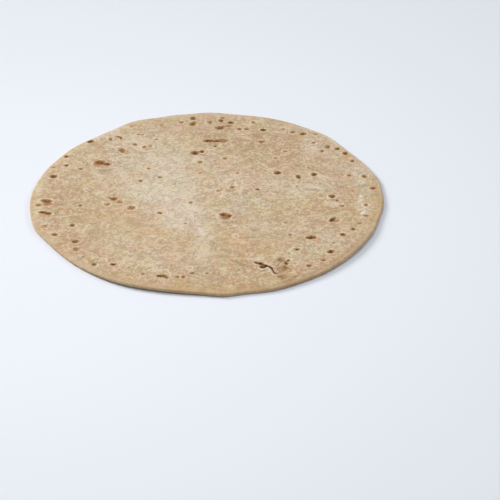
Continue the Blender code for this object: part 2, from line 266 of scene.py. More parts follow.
WARM_ZONES = (
    (66, 76, 30, 22, 0, 0.75), (44, 100, 22, 20, 0, 0.45), (20, 116, 26, 18, 0, 0.5),
    (-116, -26, 14, 18, 0, 0.6), (-104, -80, 14, 16, 30, 0.55), (30, -112, 26, 12, 0, 0.45),
    (-24, -128, 20, 10, -5, 0.55), (14, 74, 30, 14, -30, 0.35), (108, -4, 14, 12, 0, 0.45),
    (104, 48, 16, 12, 0, 0.4), (-110, 14, 16, 26, 0, 0.4), (52, 52, 24, 14, 30, 0.45),
    (-30, 110, 20, 16, 0, 0.4), (50, -84, 18, 18, 0, 0.3), (88, -110, 18, 14, 40, 0.45),
    (-84, -60, 18, 12, 0, 0.25), (-98, 54, 10, 9, 0, 0.3), (2, 96, 16, 9, 0, 0.4),
    (-128, 0, 16, 26, 0, 0.34), (34, -92, 18, 14, 0, 0.45), (62, -112, 6, 8, 0, 0.8),
    (-100, -36, 20, 18, 0, 0.3), (-4, -84, 16, 16, 0, 0.2), (60.6, -114.6, 6, 6, 0, 1),
    (10, -146, 60, 7, 0, 0.5), (66, -124, 12, 6, 30, 0.5), (104, -104, 40, 8, 45, 0.4),
    (56, 66, 18, 13, 0, 0.42), (0, 100, 20, 8, 0, 0.2), (-118, -62, 24, 40, 20, 0.3),
    (35, -134, 50, 12, 0, 0.42), (-80, -95, 36, 16, -15, 0.32), (-46, -66, 26, 18, 0, 0.48),
    (120, -16, 26, 26, 0, 0.34), (44, -112, 36, 26, 0, 0.3), (85, -12, 60, 26, 0, 0.32),
    (-74, -96, 36, 22, -15, 0.3), (80, 44, 26, 34, 0, 0.24), (20, -66, 20, 18, 0, 0.42),
    (-122, 0, 22, 44, 0, 0.17), (-66, -128, 34, 10, -14, 0.4), (30, -140, 60, 10, 0, 0.4),
)
GOLD_ZONES = (
    (60, -22, 16, 12, 0, 0.6), (94, -16, 14, 15, 0, 0.85), (26, -74, 15, 13, 0, 0.8),
    (54, -84, 10, 12, 0, 0.5), (-48, -62, 30, 14, -10, 0.55), (-78, -34, 20, 16, -20, 0.6),
    (-90, 4, 12, 12, 0, 0.35), (128, -28, 10, 20, -20, 0.55), (-18, -76, 16, 18, 0, 0.35),
    (-20, 118, 16, 14, 0, 0.4), (-104, 92, 10, 8, -40, 0.45), (40, -104, 18, 10, 0, 0.45),
    (110, -98, 16, 12, 40, 0.5), (18, -56, 16, 10, 0, 0.35), (-120, -60, 12, 16, 30, 0.3),
    (142, -18, 8, 34, -6, 1), (10, -145, 80, 9, 0, 0.8), (138, 22, 7, 14, 20, 0.6),
    (92, -14, 8, 10, 0, 0.5), (112, -26, 26, 14, 0, 0.35),
)
# Where the dough's grain is lively
BUSY_ZONES = (
    (40, 90, 50, 34, 0, 0.7), (24, 0, 26, 24, 0, 0.9), (100, 20, 30, 40, 0, 0.45),
    (90, -30, 30, 20, 0, 0.3), (50, -112, 30, 16, 0, 1), (-60, -112, 40, 10, -12, 0.8),
    (-128, -40, 14, 26, 20, 0.7), (-90, 0, 30, 18, 0, 0.35), (95, -85, 30, 25, 45, 0.7),
)
UNDERSIDE_BUSY = 0.5
UNDERSIDE_FLOUR = (
    (-70, 40, 40, 30, 0, 0.35), (60, -50, 46, 34, 30, 0.4), (10, 80, 40, 24, 0, 0.3),
)
UNDERSIDE_WARM = (
    (0, 0, 70, 60, 0, 0.6), (-80, -50, 34, 28, 0, 0.55), (80, 50, 34, 30, 0, 0.55),
    (-20, -110, 40, 20, 0, 0.4), (-60, 100, 34, 22, 0, 0.4),
)
UNDERSIDE_GOLD = (
    (40, 10, 40, 30, 0, 0.45), (-50, -10, 36, 30, 0, 0.45), (90, -80, 26, 26, 0, 0.4),
)

# ---------------------------------------------------------------- fineness, chance and camera

UNDERSIDE_CELLS = 129
FACE_CELLS = 2 * UNDERSIDE_CELLS  # twice, so that two rim points meet one underside point
OUTLINE_STEPS = 3600  # directions at which the outline is measured
MOST_STRETCH = 0.01  # share by which the outline may be stretched to fit the frame
RIM_RINGS = 7  # odd, so that one of them runs along the outline itself
FACE_BANDS = (RIM_RINGS + 1) // 2
RIM_FULLNESS = 0.82  # below 1 the rim's section is fuller than an ellipse
# Chance that runs along the rim: how far it strays, wavelength, seed
ROUNDING_STRAYS = (0.25, 16.0, 5)
OUTLINE_STRAYS = (0.10, 5.0, 6)
RIM_SINKS = 0.25  # how much lower the face lies at the rim, easing out to 0 this far in:
RIM_SINK_WIDTH = 7.0
RELIEF_STARTS_AT = 0.4  # share of the rim's rounding inside which the face is smooth
LATTICE = 256  # corners along each side of a noise's lattice
LATTICE_TURN = 37.0  # degrees for each unit of the seed, so that no two lattices line up
# Fine relief of the dough: wavelength, height, seed
FACE_RELIEF = ((23.0, 0.10, 11), (12.0, 0.08, 12), (6.3, 0.060, 13), (3.6, 0.045, 14))
UNDERSIDE_RELIEF = ((26.0, 0.10, 31), (9.0, 0.08, 32), (4.5, 0.05, 33))
# Low bubbles of the skin: how many, how far out, radii, heights, and their signs, a third of them pits
DOME_COUNT = 420
DOMES_OUT_TO = 145.0
DOME_RADII = (1.6, 4.2)
DOME_HEIGHTS = (0.05, 0.16)
DOME_SIGNS = (1.0, 1.0, -0.7)
# Chance blisters: how far out, half-lengths, shares of them across, and least and most of their looks
BLISTERS_OUT_TO = 138.0
BLISTER_LENGTHS = (2.0, 6.0)
BLISTER_SHARES = (0.6, 1.0)
BLISTER_LOOKS = ((0.1, 0.1, 0.03), (0.9, 0.6, 0.12))
BLISTER_CLEARANCE = 1.25  # least distance between two blisters, in the sum of their half-lengths
# Marks of the underside: how many nests and marks, how far out, how far a mark strays from its nest
UNDERSIDE_NESTS = 80
UNDERSIDE_MARK_COUNT = 240
NESTS_OUT_TO = 132.0
UNDERSIDE_MARKS_OUT_TO = 138.0
NEST_SPREAD = 5.0
UNDERSIDE_MARK_GROWTH = 4.4  # half-lengths are 1 + this times c^3, for a chance c from 0 to 1
UNDERSIDE_MARK_SHARES = (0.45, 1.0)
UNDERSIDE_LOOKS = ((0.15, 0.2, 0.1), (0.95, 0.9, 0.6))
UNDERSIDE_CRATER_DEPTH = 0.10
# Marks lie in layers. In half-sizes: how far a halo reaches, and from where to where a mark fades
MARK_LAYERS = 3
HALO_REACH = 2.6
HALOS_MAY_MEET = 0.8  # share of two halos' reach past which they lie in different layers
MARK_FADES = (4.0, 5.0)
BLISTER_FADES = (1.5, 2.0)
HALO_WIDTH = 2.6  # in millimetres
CRATER_LIP_AT = 1.8  # in half-sizes, and its half-width
CRATER_LIP_WIDTH = 0.5
CRATER_LIP_SHARES = (0.25, 0.50)  # of the depth: its least height, and what a pale rim adds to it
CRATER_LIP_DEPTH = 0.4  # a crater deeper than this has no higher lip
BLISTER_WIDTH = 0.75  # half-width of a blister's bell, in half-sizes
FULL_RIDGE = 0.4  # height at which a ridge shows its full colour
# The split: depth, how it strays (height, wavelength, seed), and the flap above it and the lip below
# it, each a height, a distance from the split's edge and a half-width
TEAR_DEPTH = 1.1
TEAR_STRAYS = (0.45, 2.6, 21)
TEAR_FLAP = (0.42, 1.6, 3.2)
TEAR_LIP = (0.30, 1.1, 1.0)
TEAR_OPENS_AT = 0.8  # half-width from which the split is at its full depth
TEAR_NARROWEST = 0.3  # the groove's least half-width
TEAR_FADES = (6.0, 10.0)  # its colours fade out between these distances
FINE_MIDDLE = (52.0, -113.0)  # the face's grid is drawn in towards the torn blister
FINE_REACH = 15.0
FINE_DRAW = 0.5
FINE_HOLDS_FROM = 0.88  # share of the radius from which the pull eases out towards the rim
FACE_ON_MAP = 0.645  # widths of the two discs on the bake map, in shares of its side
UNDERSIDE_ON_MAP = 0.50
BAKE_MARGIN = 0.006
SEED = 7

# Soft lights: name, direction and elevation in degrees, distance and side in metres, colour
STAGE_LIGHTS = (
    ("key", 147.0, 28.0, 5.0, 1.8, (1.0, 0.99, 0.96)),
    ("fill", 15.0, 35.0, 3.0, 0.9, (1.0, 1.0, 1.0)),
    ("overhead", -135.0, 72.0, 0.7, 0.6, (0.98, 0.99, 1.0)),
)
MOST_POWER = 2000.0  # watts
FLOOR_HALF = 6.0  # metres
SKY_COLOUR = (0.93, 0.96, 1.0, 1.0)
# The camera: its target and distance in millimetres, its elevation and view in degrees
CAMERA_TARGET = (36.567, -84.419, 0.0)
CAMERA_DISTANCE = 1143.54
CAMERA_ELEVATION = 32.791
FIELD_OF_VIEW = 20.0
SENSOR_WIDTH = 36.0
CAMERA_SEES_TO = 50.0  # metres


def on_screen(red, green, blue):
    """A colour read on a screen, 0 to 255, as linear values: ((c / 255 + 0.055) / 1.055) ^ 2.4."""
    return tuple(((level / 255 + 0.055) / 1.055) ** 2.4 for level in (red, green, blue)) + (1.0,)


def colour_property(name, description, *screen):
    """A colour that the user can change, given as it looks on a screen."""
    return FloatVectorProperty(
        name=name,
        description=description,
        subtype="COLOR",
        size=4,
        min=0.0,
        max=1.0,
        default=on_screen(*screen),
    )


def length_property(name, description, default, low, high):
    """A length that the user can change, given in millimetres."""
    return FloatProperty(
        name=name,
        description=description,
        default=default * MM,
        min=low * MM,
        max=high * MM,
        unit="LENGTH",
    )


def amount_property(name, description, default, high, **kind):
    """A number from 0 up that the user can change."""
    return FloatProperty(
        name=name, description=description, default=default, min=0.0, max=high, **kind
    )


class SajBreadForm(PropertyGroup):
    """Sizes of the bread's surface."""

    rim_rounding: length_property(
        "Rim rounding", "How far in from the outline the rim's rounding starts", 1.7, 0.5, 4.0
    )
    smooth_border: length_property(
        "Smooth border", "Width of the border along the rim where the relief fades out", 6.0, 1.0, 20.0
    )
    relief: amount_property(
        "Relief", "How strongly the dough's fine relief stands out", 1.0, 3.0, subtype="FACTOR"
    )
    crater_depth: amount_property(
        "Crater depth",
        "Depth of a toasted mark for each unit of its half-width",
        0.20,
        0.5,
        subtype="FACTOR",
    )


class SajBreadColours(PropertyGroup):
    """Colours of the baked dough."""

    dough: colour_property("Dough", "Baked wheat dough", 198, 175, 145)
    warm: colour_property("Warm dough", "Dough toasted lightly by the griddle", 185, 152, 117)
    golden: colour_property("Golden dough", "Dough toasted to a yellow tan", 201, 167, 118)
    flour: colour_property("Flour", "Flour left dusted on the face", 217, 205, 187)
    # Grain shade and grain light: partly the dough's tone, partly painted shade in the grain's hollows
    # and painted highlight on its raised tops.
    shade: colour_property("Grain shade", "Dark side of the dough's fine grain", 150, 123, 94)
    light: colour_property("Grain light", "Light side of the dough's fine grain", 232, 212, 182)
    pink: colour_property("Pinkish dough", "Dough where its tint is pinkish", 207, 169, 141)
    olive: colour_property("Olive dough", "Dough where its tint is olive", 199, 184, 141)
    bran: colour_property("Bran", "Flecks of bran", 140, 104, 70)
    halo_red: colour_property("Red halo", "Toasted ground round a red scorch", 200, 150, 108)
    halo_gold: colour_property("Golden halo", "Toasted ground round a plain scorch", 200, 160, 108)
    ember_red: colour_property("Red scorch", "Outer part of a red scorch", 158, 105, 64)
    ember_olive: colour_property("Brown scorch", "Outer part of a plain scorch", 143, 114, 68)
    scorch: colour_property("Dark scorch", "Darkest part of a scorch", 80, 53, 24)
    # Crease: grey-green painted shade, laid in wrinkles, along blister edges and in the creases between
    # ridges.
    crease_shade: colour_property("Crease", "Grey-green ground of a crease or wrinkle", 142, 128, 98)
    # Ring: painted highlight on the raised rims of marks and burst bubbles.
    ring: colour_property("Ring", "Pale raised rim of a burst bubble or a scorch", 243, 212, 178)
    # Blister crest: painted highlight on blister crests, raised ridges and the torn blister's lips.
    blister: colour_property("Blister crest", "Pale crest of a low blister or a torn lip", 238, 221, 198)
    border: colour_property("Border", "Smooth border along the rim", 205, 177, 142)


class SajBreadStage(PropertyGroup):
    """Floor and lights of the studio."""

    floor: colour_property("Floor", "Pale floor", 232, 235, 242)
    key_power: amount_property(
        "Key power", "Power of the soft light from the back left, in watts", 213.0, MOST_POWER
    )
    fill_power: amount_property(
        "Fill power", "Power of the weaker light from the right, in watts", 17.8, MOST_POWER
    )
    overhead_power: amount_property(
        "Overhead power", "Power of the wide light above the table, in watts", 1.9, MOST_POWER
    )
    sky_strength: amount_property(
        "Sky strength", "Strength of the even light from all round", 0.29, 10.0
    )


# ---------------------------------------------------------------- shapes as whole arrays


def bell(distance, half_width):
    """A smooth hump: e to the power of -(distance / half-width)^2."""
    return np.exp(-((distance / half_width) ** 2))


def ramp(value, low, high):
    """0 below low, 1 above high, and 3t^2 - 2t^3 between them."""
    t = np.clip((value - low) / (high - low), 0.0, 1.0)
    return t * t * (3.0 - 2.0 * t)


def turn_between(angle, degrees):
    """Degrees from a direction in degrees to an angle in radians, by the shorter way."""
    return (np.degrees(angle) - degrees + 180.0) % 360.0 - 180.0


def rim_radius(angle):
    """Half the diameter, plus h cos(turns (angle - crest)) for each wave and a bell for each bump."""
    radius = np.full_like(angle, DIAMETER / 2.0)
    for turns, height, crest in OUTLINE_WAVES:
        radius += height * np.cos(turns * (angle - math.radians(crest)))
    for direction, half_width, height in OUTLINE_BUMPS:
        radius += height * bell(turn_between(angle, direction), half_width)
    return radius


def rim_lift(angle):
    """Height of the rim off the table: a bell for each lifted stretch."""
    return sum(height * bell(turn_between(angle, at), wide) for at, wide, height in RIM_LIFTS)


def underside_height(share, angle):
    """The rim's lift times ((share - start) / (1 - start))^2 outside the flat middle."""
    out = np.maximum(0.0, (share - LIFT_STARTS_AT) / (1.0 - LIFT_STARTS_AT))
    return rim_lift(angle) * out**2


def swell_height(x, y):
    """The sum of the broad swells, each a bell of the distance from its centre."""
    return sum(h * bell(np.hypot(x - cx, y - cy), wide) for cx, cy, wide, h in FACE_SWELLS)


def lattice_noise(x, y, wavelength, seed):
    """Smooth chance from -1 to 1: seeded values at a turned lattice's corners, blended by ramps."""
    corners = np.random.default_rng(seed).uniform(-1.0, 1.0, (LATTICE, LATTICE))
    turn = math.radians(LATTICE_TURN * seed)
    u = (x * math.cos(turn) + y * math.sin(turn)) / wavelength + LATTICE / 2
    v = (y * math.cos(turn) - x * math.sin(turn)) / wavelength + LATTICE / 2
    i, j = np.floor(u).astype(int), np.floor(v).astype(int)
    s, t = ramp(u - i, 0.0, 1.0), ramp(v - j, 0.0, 1.0)
    row, column = j % LATTICE, i % LATTICE
    next_row, next_column = (j + 1) % LATTICE, (i + 1) % LATTICE
    low = corners[row, column] * (1 - s) + corners[row, next_column] * s
    high = corners[next_row, column] * (1 - s) + corners[next_row, next_column] * s
    return low * (1 - t) + high * t


def fine_relief(x, y, octaves):
    """The sum of lattice noises, each wavelength with its own height."""
    return sum(height * lattice_noise(x, y, wave, seed) for wave, height, seed in octaves)


def local_place(x, y, mark):
    """Where points lie within a mark, in half-lengths along it and half-widths across it."""
    turn = math.radians(mark[4])
    dx, dy = x - mark[0], y - mark[1]
    along = (dx * math.cos(turn) + dy * math.sin(turn)) / mark[2]
    across = (dy * math.cos(turn) - dx * math.sin(turn)) / mark[3]
    return along, across


def crater_relief(x, y, marks, depths):
    """For each mark, a hollow -depth e^(-r^4), r in half-sizes, and a bell of a lip round it."""
    total = np.zeros_like(x)
    least, added = CRATER_LIP_SHARES
    for mark, depth in zip(marks, depths, strict=True):
        r = np.hypot(*local_place(x, y, mark))
        lip = (least + added * mark[7]) * min(depth, CRATER_LIP_DEPTH)
        total += lip * bell(r - CRATER_LIP_AT, CRATER_LIP_WIDTH) - depth * np.exp(-(r**4))
    return total


def ridge_relief(x, y):
    """For each ridge, its height times a bell along it and a bell across its bent middle line."""
    total = np.zeros_like(x)
    for ridge in RIDGES:
        along, across = local_place(x, y, ridge)
        total += ridge[6] * bell(along, 1.0) * bell(across - ridge[5] * along**2, 1.0)
    return total


def place_on_tear(x, y):
    """Distance across the split, above 0 on its upper right side, its half-width and darkness.

    Each stretch of the path is a straight line. A point goes to the nearest place of the nearest
    one, where half-width and darkness lie between the values at its ends.
    """
    nearest = np.full(len(x), np.inf)
    found = np.zeros((3, len(x)))
    for (ax, ay, *from_look), (bx, by, *to_look) in zip(TEAR_PATH, TEAR_PATH[1:]):
        run, climb = bx - ax, by - ay
        share = np.clip(((x - ax) * run + (y - ay) * climb) / (run**2 + climb**2), 0.0, 1.0)
        dx, dy = x - ax - share * run, y - ay - share * climb
        away = np.hypot(dx, dy)
        closer = away < nearest
        nearest[closer] = away[closer]
        width, dark = ((1.0 - share) * a + share * b for a, b in zip(from_look, to_look))
        side = np.where(run * dy > climb * dx, 1.0, -1.0)
        found[:, closer] = np.stack([side * away, width, dark])[:, closer]
    return found


def tear_relief(x, y):
    """A groove -d e^(-(across / half-width)^4), a broad flap above it and a narrow lip below it."""
    across, width, dark = place_on_tear(x, y)
    stray, wavelength, seed = TEAR_STRAYS
    across = across + stray * lattice_noise(x, y, wavelength, seed)
    flap, flap_at, flap_width = TEAR_FLAP
    lip, lip_at, lip_width = TEAR_LIP
    raised = flap * bell(across - width - flap_at, flap_width) * (across > 0)
    raised += lip * bell(across + width + lip_at, lip_width)
    groove = TEAR_DEPTH * np.exp(-((across / np.maximum(width, TEAR_NARROWEST)) ** 4))
    return np.minimum(1.0, width / TEAR_OPENS_AT) * dark * (raised - groove)


def blister_relief(x, y, blisters):
    """For each blister, its height times a bell of the distance from its middle in half-sizes."""
    total = np.zeros_like(x)
    for blister in blisters:
        total += blister[7] * bell(np.hypot(*local_place(x, y, blister)), BLISTER_WIDTH)
    return total


def dome_relief(x, y, rng):
    """Many low bubbles of the skin at chance places: each a bell of its own radius and height."""
    total = np.zeros_like(x)
    for _ in range(DOME_COUNT):
        cx, cy = rng.uniform(-DOMES_OUT_TO, DOMES_OUT_TO, 2)
        radius = rng.uniform(*DOME_RADII)
        height = rng.uniform(*DOME_HEIGHTS) * rng.choice(DOME_SIGNS)
        near = (np.abs(x - cx) < 3 * radius) & (np.abs(y - cy) < 3 * radius)
        total[near] += height * bell(np.hypot(x[near] - cx, y[near] - cy), radius)
    return total


def zone_strength(x, y, zones):
    """The sum of soft zones, each its strength times a bell of its stretched and turned distance."""
    total = np.zeros_like(x)
    for zone in zones:
        total += zone[5] * bell(np.hypot(*local_place(x, y, zone)), 1.0)
    return np.clip(total, 0.0, 1.0)


def place_in_tables(x, y):
    """Where points lie for the tables of what the face shows."""
    return x - TABLES_OFF[0], y - TABLES_OFF[1]


# ---------------------------------------------------------------- the grid and its faces


def disc_grid(cells):
    """Share of the radius and direction of each corner of a square grid drawn out into a disc.

    A point (u, v) of the square -1..1 goes to share max(|u|, |v|). Its direction is 45 degrees times
    v / u in the left and right quarters and 90 - 45 u / v degrees in the upper and lower ones.
    """
    step = np.linspace(-1.0, 1.0, cells + 1)
    u, v = (side.ravel() for side in np.meshgrid(step, step))
    sideways = np.abs(u) > np.abs(v)
    slope_u = np.divide(v, u, out=np.zeros_like(u), where=sideways)
    slope_v = np.divide(u, v, out=np.zeros_like(u), where=~sideways & (v != 0.0))
    left = np.pi / 4.0 * slope_u + np.where(u < 0.0, np.pi, 0.0)
    upper = np.pi / 2.0 - np.pi / 4.0 * slope_v + np.where(v < 0.0, np.pi, 0.0)
    return np.maximum(np.abs(u), np.abs(v)), np.where(sideways, left, upper)


def drawn_to_tear(share, angle):
    """Draws a grid's corners towards the torn blister, so that its cells are finer there.

    Each corner goes a share of its way to the middle of that place: FINE_DRAW times a bell of its
    distance, times a ramp that holds the rim still.
    """
    radius = share * rim_radius(angle)
    x, y = radius * np.cos(angle), radius * np.sin(angle)
    dx, dy = x - FINE_MIDDLE[0], y - FINE_MIDDLE[1]
    pull = FINE_DRAW * bell(np.hypot(dx, dy), FINE_REACH) * ramp(share, 1.0, FINE_HOLDS_FROM)
    x, y = x - pull * dx, y - pull * dy
    angle = np.where(pull > 0.0, np.arctan2(y, x), angle)
    return np.where(pull > 0.0, np.hypot(x, y) / rim_radius(angle), share), angle


def border_ring(cells):
    """Numbers of the grid's border corners, anticlockwise from its lower right corner."""
    row = cells + 1
    right = np.arange(cells) * row + cells
    upper = cells * row + np.arange(cells, 0, -1)
    left = np.arange(cells, 0, -1) * row
    lower = np.arange(cells)
    return np.concatenate([right, upper, left, lower])


def grid_quads(cells):
    """The grid's cells as quads that face up."""
    low = (np.arange(cells)[:, None] * (cells + 1) + np.arange(cells)).ravel()
    return np.stack([low, low + 1, low + cells + 2, low + cells + 1], 1)


def band_quads(upper, lower):
    """Quads between two rings of as many points, facing out."""
    return np.stack([upper, lower, np.roll(lower, -1), np.roll(upper, -1)], 1)


def halving_triangles(fine, coarse):
    """Triangles from a ring to one inside it with half its points, three to each coarse step."""
    first, middle, last = fine[0::2], fine[1::2], np.roll(fine[0::2], -1)
    here, there = coarse, np.roll(coarse, -1)
    return np.concatenate(
        [
            np.stack([first, here, middle], 1),
            np.stack([middle, here, there], 1),
            np.stack([middle, there, last], 1),
        ]
    )


# ---------------------------------------------------------------- marks


def face_marks():
    """All marks of the face, eight values each, and how deep each is cut."""
    round_ones = [(x, y, r, r, 0, dark, red, rim) for x, y, r, dark, red, rim in PINHOLES]
    shallow = np.array(SCORCHES + EYES + FRONT_RIGHT_MARKS + tuple(round_ones), float)
    torn = np.array(TORN_BLISTER, float)
    per_width = bpy.context.scene.saj_bread_form.crater_depth
    depths = per_width * shallow[:, 3] * shallow[:, 5]
    return np.vstack([shallow, torn[:, :8]]), np.concatenate([depths, torn[:, 8]])


def underside_marks(rng):
    """Chance marks of the side that lay on the griddle, and how deep each is cut.

    They lie in nests, spread evenly over the disc, and stray from their nest's middle by the bell
    curve. Only a few are large.
    """
    count = UNDERSIDE_MARK_COUNT
    away = NESTS_OUT_TO * np.sqrt(rng.uniform(0.0, 1.0, UNDERSIDE_NESTS))
    direction = rng.uniform(0.0, 2 * np.pi, UNDERSIDE_NESTS)
    nest = rng.integers(0, UNDERSIDE_NESTS, count)
    x, y = (away * side(direction) for side in (np.cos, np.sin))
    x, y = (middle[nest] + rng.normal(0.0, NEST_SPREAD, count) for middle in (x, y))
    held = np.minimum(1.0, UNDERSIDE_MARKS_OUT_TO / np.hypot(x, y))
    long = 1.0 + UNDERSIDE_MARK_GROWTH * rng.uniform(0.0, 1.0, count) ** 3
    wide = long * rng.uniform(*UNDERSIDE_MARK_SHARES, count)
    turn = rng.uniform(0.0, 180.0, count)
    dark, red, rim = rng.uniform(*UNDERSIDE_LOOKS, (count, 3)).T
    marks = np.stack([x * held, y * held, long, wide, turn, dark, red, rim], 1)
    return marks, UNDERSIDE_CRATER_DEPTH * wide * dark


def with_chance_blisters(placed, rng):
    """The placed blisters, and small ones at chance places that keep clear of the others."""
    kept = [np.array(blister, float) for blister in placed]
    for _ in range(CHANCE_BLISTERS):
        away = BLISTERS_OUT_TO * math.sqrt(rng.uniform())
        direction = rng.uniform(0.0, 2 * np.pi)
        long = rng.uniform(*BLISTER_LENGTHS)
        wide = long * rng.uniform(*BLISTER_SHARES)
        looks = rng.uniform(*BLISTER_LOOKS)
        turn = rng.uniform(0, 180)
        x, y = away * math.cos(direction), away * math.sin(direction)
        gaps = [
            np.hypot(x - other[0], y - other[1]) - BLISTER_CLEARANCE * (long + max(other[2:4]))
            for other in kept
        ]
        if min(gaps, default=1.0) > 0.0:
            kept.append(np.array([x, y, long, wide, turn, *looks]))
    return np.array(kept)


def dealt_out(marks):
    """Deals marks into layers, so that neighbours whose halos would meet lie in different ones.

    Each mark goes to the first layer with room for it, or to the one where it has the most.
    """
    reach = HALO_REACH * np.maximum(marks[:, 2], marks[:, 3])
    apart = np.hypot(*(marks[:, None, :2] - marks[None, :, :2]).transpose(2, 0, 1))
    slack = apart - HALOS_MAY_MEET * (reach[:, None] + reach[None, :])
    layer = np.zeros(len(marks), int)
    for number in range(1, len(marks)):
        room = [
            slack[number, :number][layer[:number] == kind].min(initial=np.inf)
            for kind in range(MARK_LAYERS)
        ]
        free = [kind for kind, gap in enumerate(room) if gap >= 0.0]
        layer[number] = free[0] if free else int(np.argmax(room))
    return [marks[layer == kind] for kind in range(MARK_LAYERS)]


def nearest_mark(x, y, marks, fades):
    """Number of each point's nearest mark, and its place in it: along, across and the mark's size.

    Along and across are in half-sizes, and held within the far end of the fade. The size is the mean
    of the half-length and the half-width, and falls to 0 from the fade's near end to its far one.
    """
    best = np.full(len(x), np.inf)
    number = np.zeros(len(x), int)
    place = np.zeros((len(x), 3))
    for index, mark in enumerate(marks):
        along, across = local_place(x, y, mark)
        r = np.hypot(along, across)
        closer = r < best
        best[closer] = r[closer]
        number[closer] = index
        place[closer, 0] = along[closer]
        place[closer, 1] = across[closer]
    start, end = fades
    place[:, :2] *= (end / np.maximum(best, end))[:, None]
    size = (marks[number, 2] + marks[number, 3]) / 2.0
    place[:, 2] = size * (1.0 - np.clip((best - start) / (end - start), 0, 1))
    return number, place


# ---------------------------------------------------------------- the bread's mesh


def round_the_rim(angle):
    """A place on a circle of the bread's size, for chance that runs along the rim with no seam."""
    return DIAMETER / 2.0 * np.cos(angle), DIAMETER / 2.0 * np.sin(angle)


def fitted_to_frame():
    """Middle of the outline's box, the stretch to the frame's width, and the frame's height."""
    angle = np.linspace(0.0, 2 * np.pi, OUTLINE_STEPS + 1)
    edge = rim_radius(angle) * np.stack([np.cos(angle), np.sin(angle)])
    low, high = edge.min(1), edge.max(1)
    frame_low, frame_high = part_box(NODE)
    wanted = np.array(frame_high - frame_low)[:2] / MM
    stretch = wanted / (high - low)
    if np.abs(stretch - 1.0).max() > MOST_STRETCH:
        raise ValueError(f"the outline no longer fits the frame: it would be stretched by {stretch}")
    return (low + high) / 2.0, stretch, frame_high[2] / MM


class Patch(NamedTuple):
    """A stretch of the sheet: radius and direction before the fit, its places, and how far in."""

    radius: np.ndarray
    angle: np.ndarray
    x: np.ndarray
    y: np.ndarray
    z: np.ndarray
    from_rim: np.ndarray


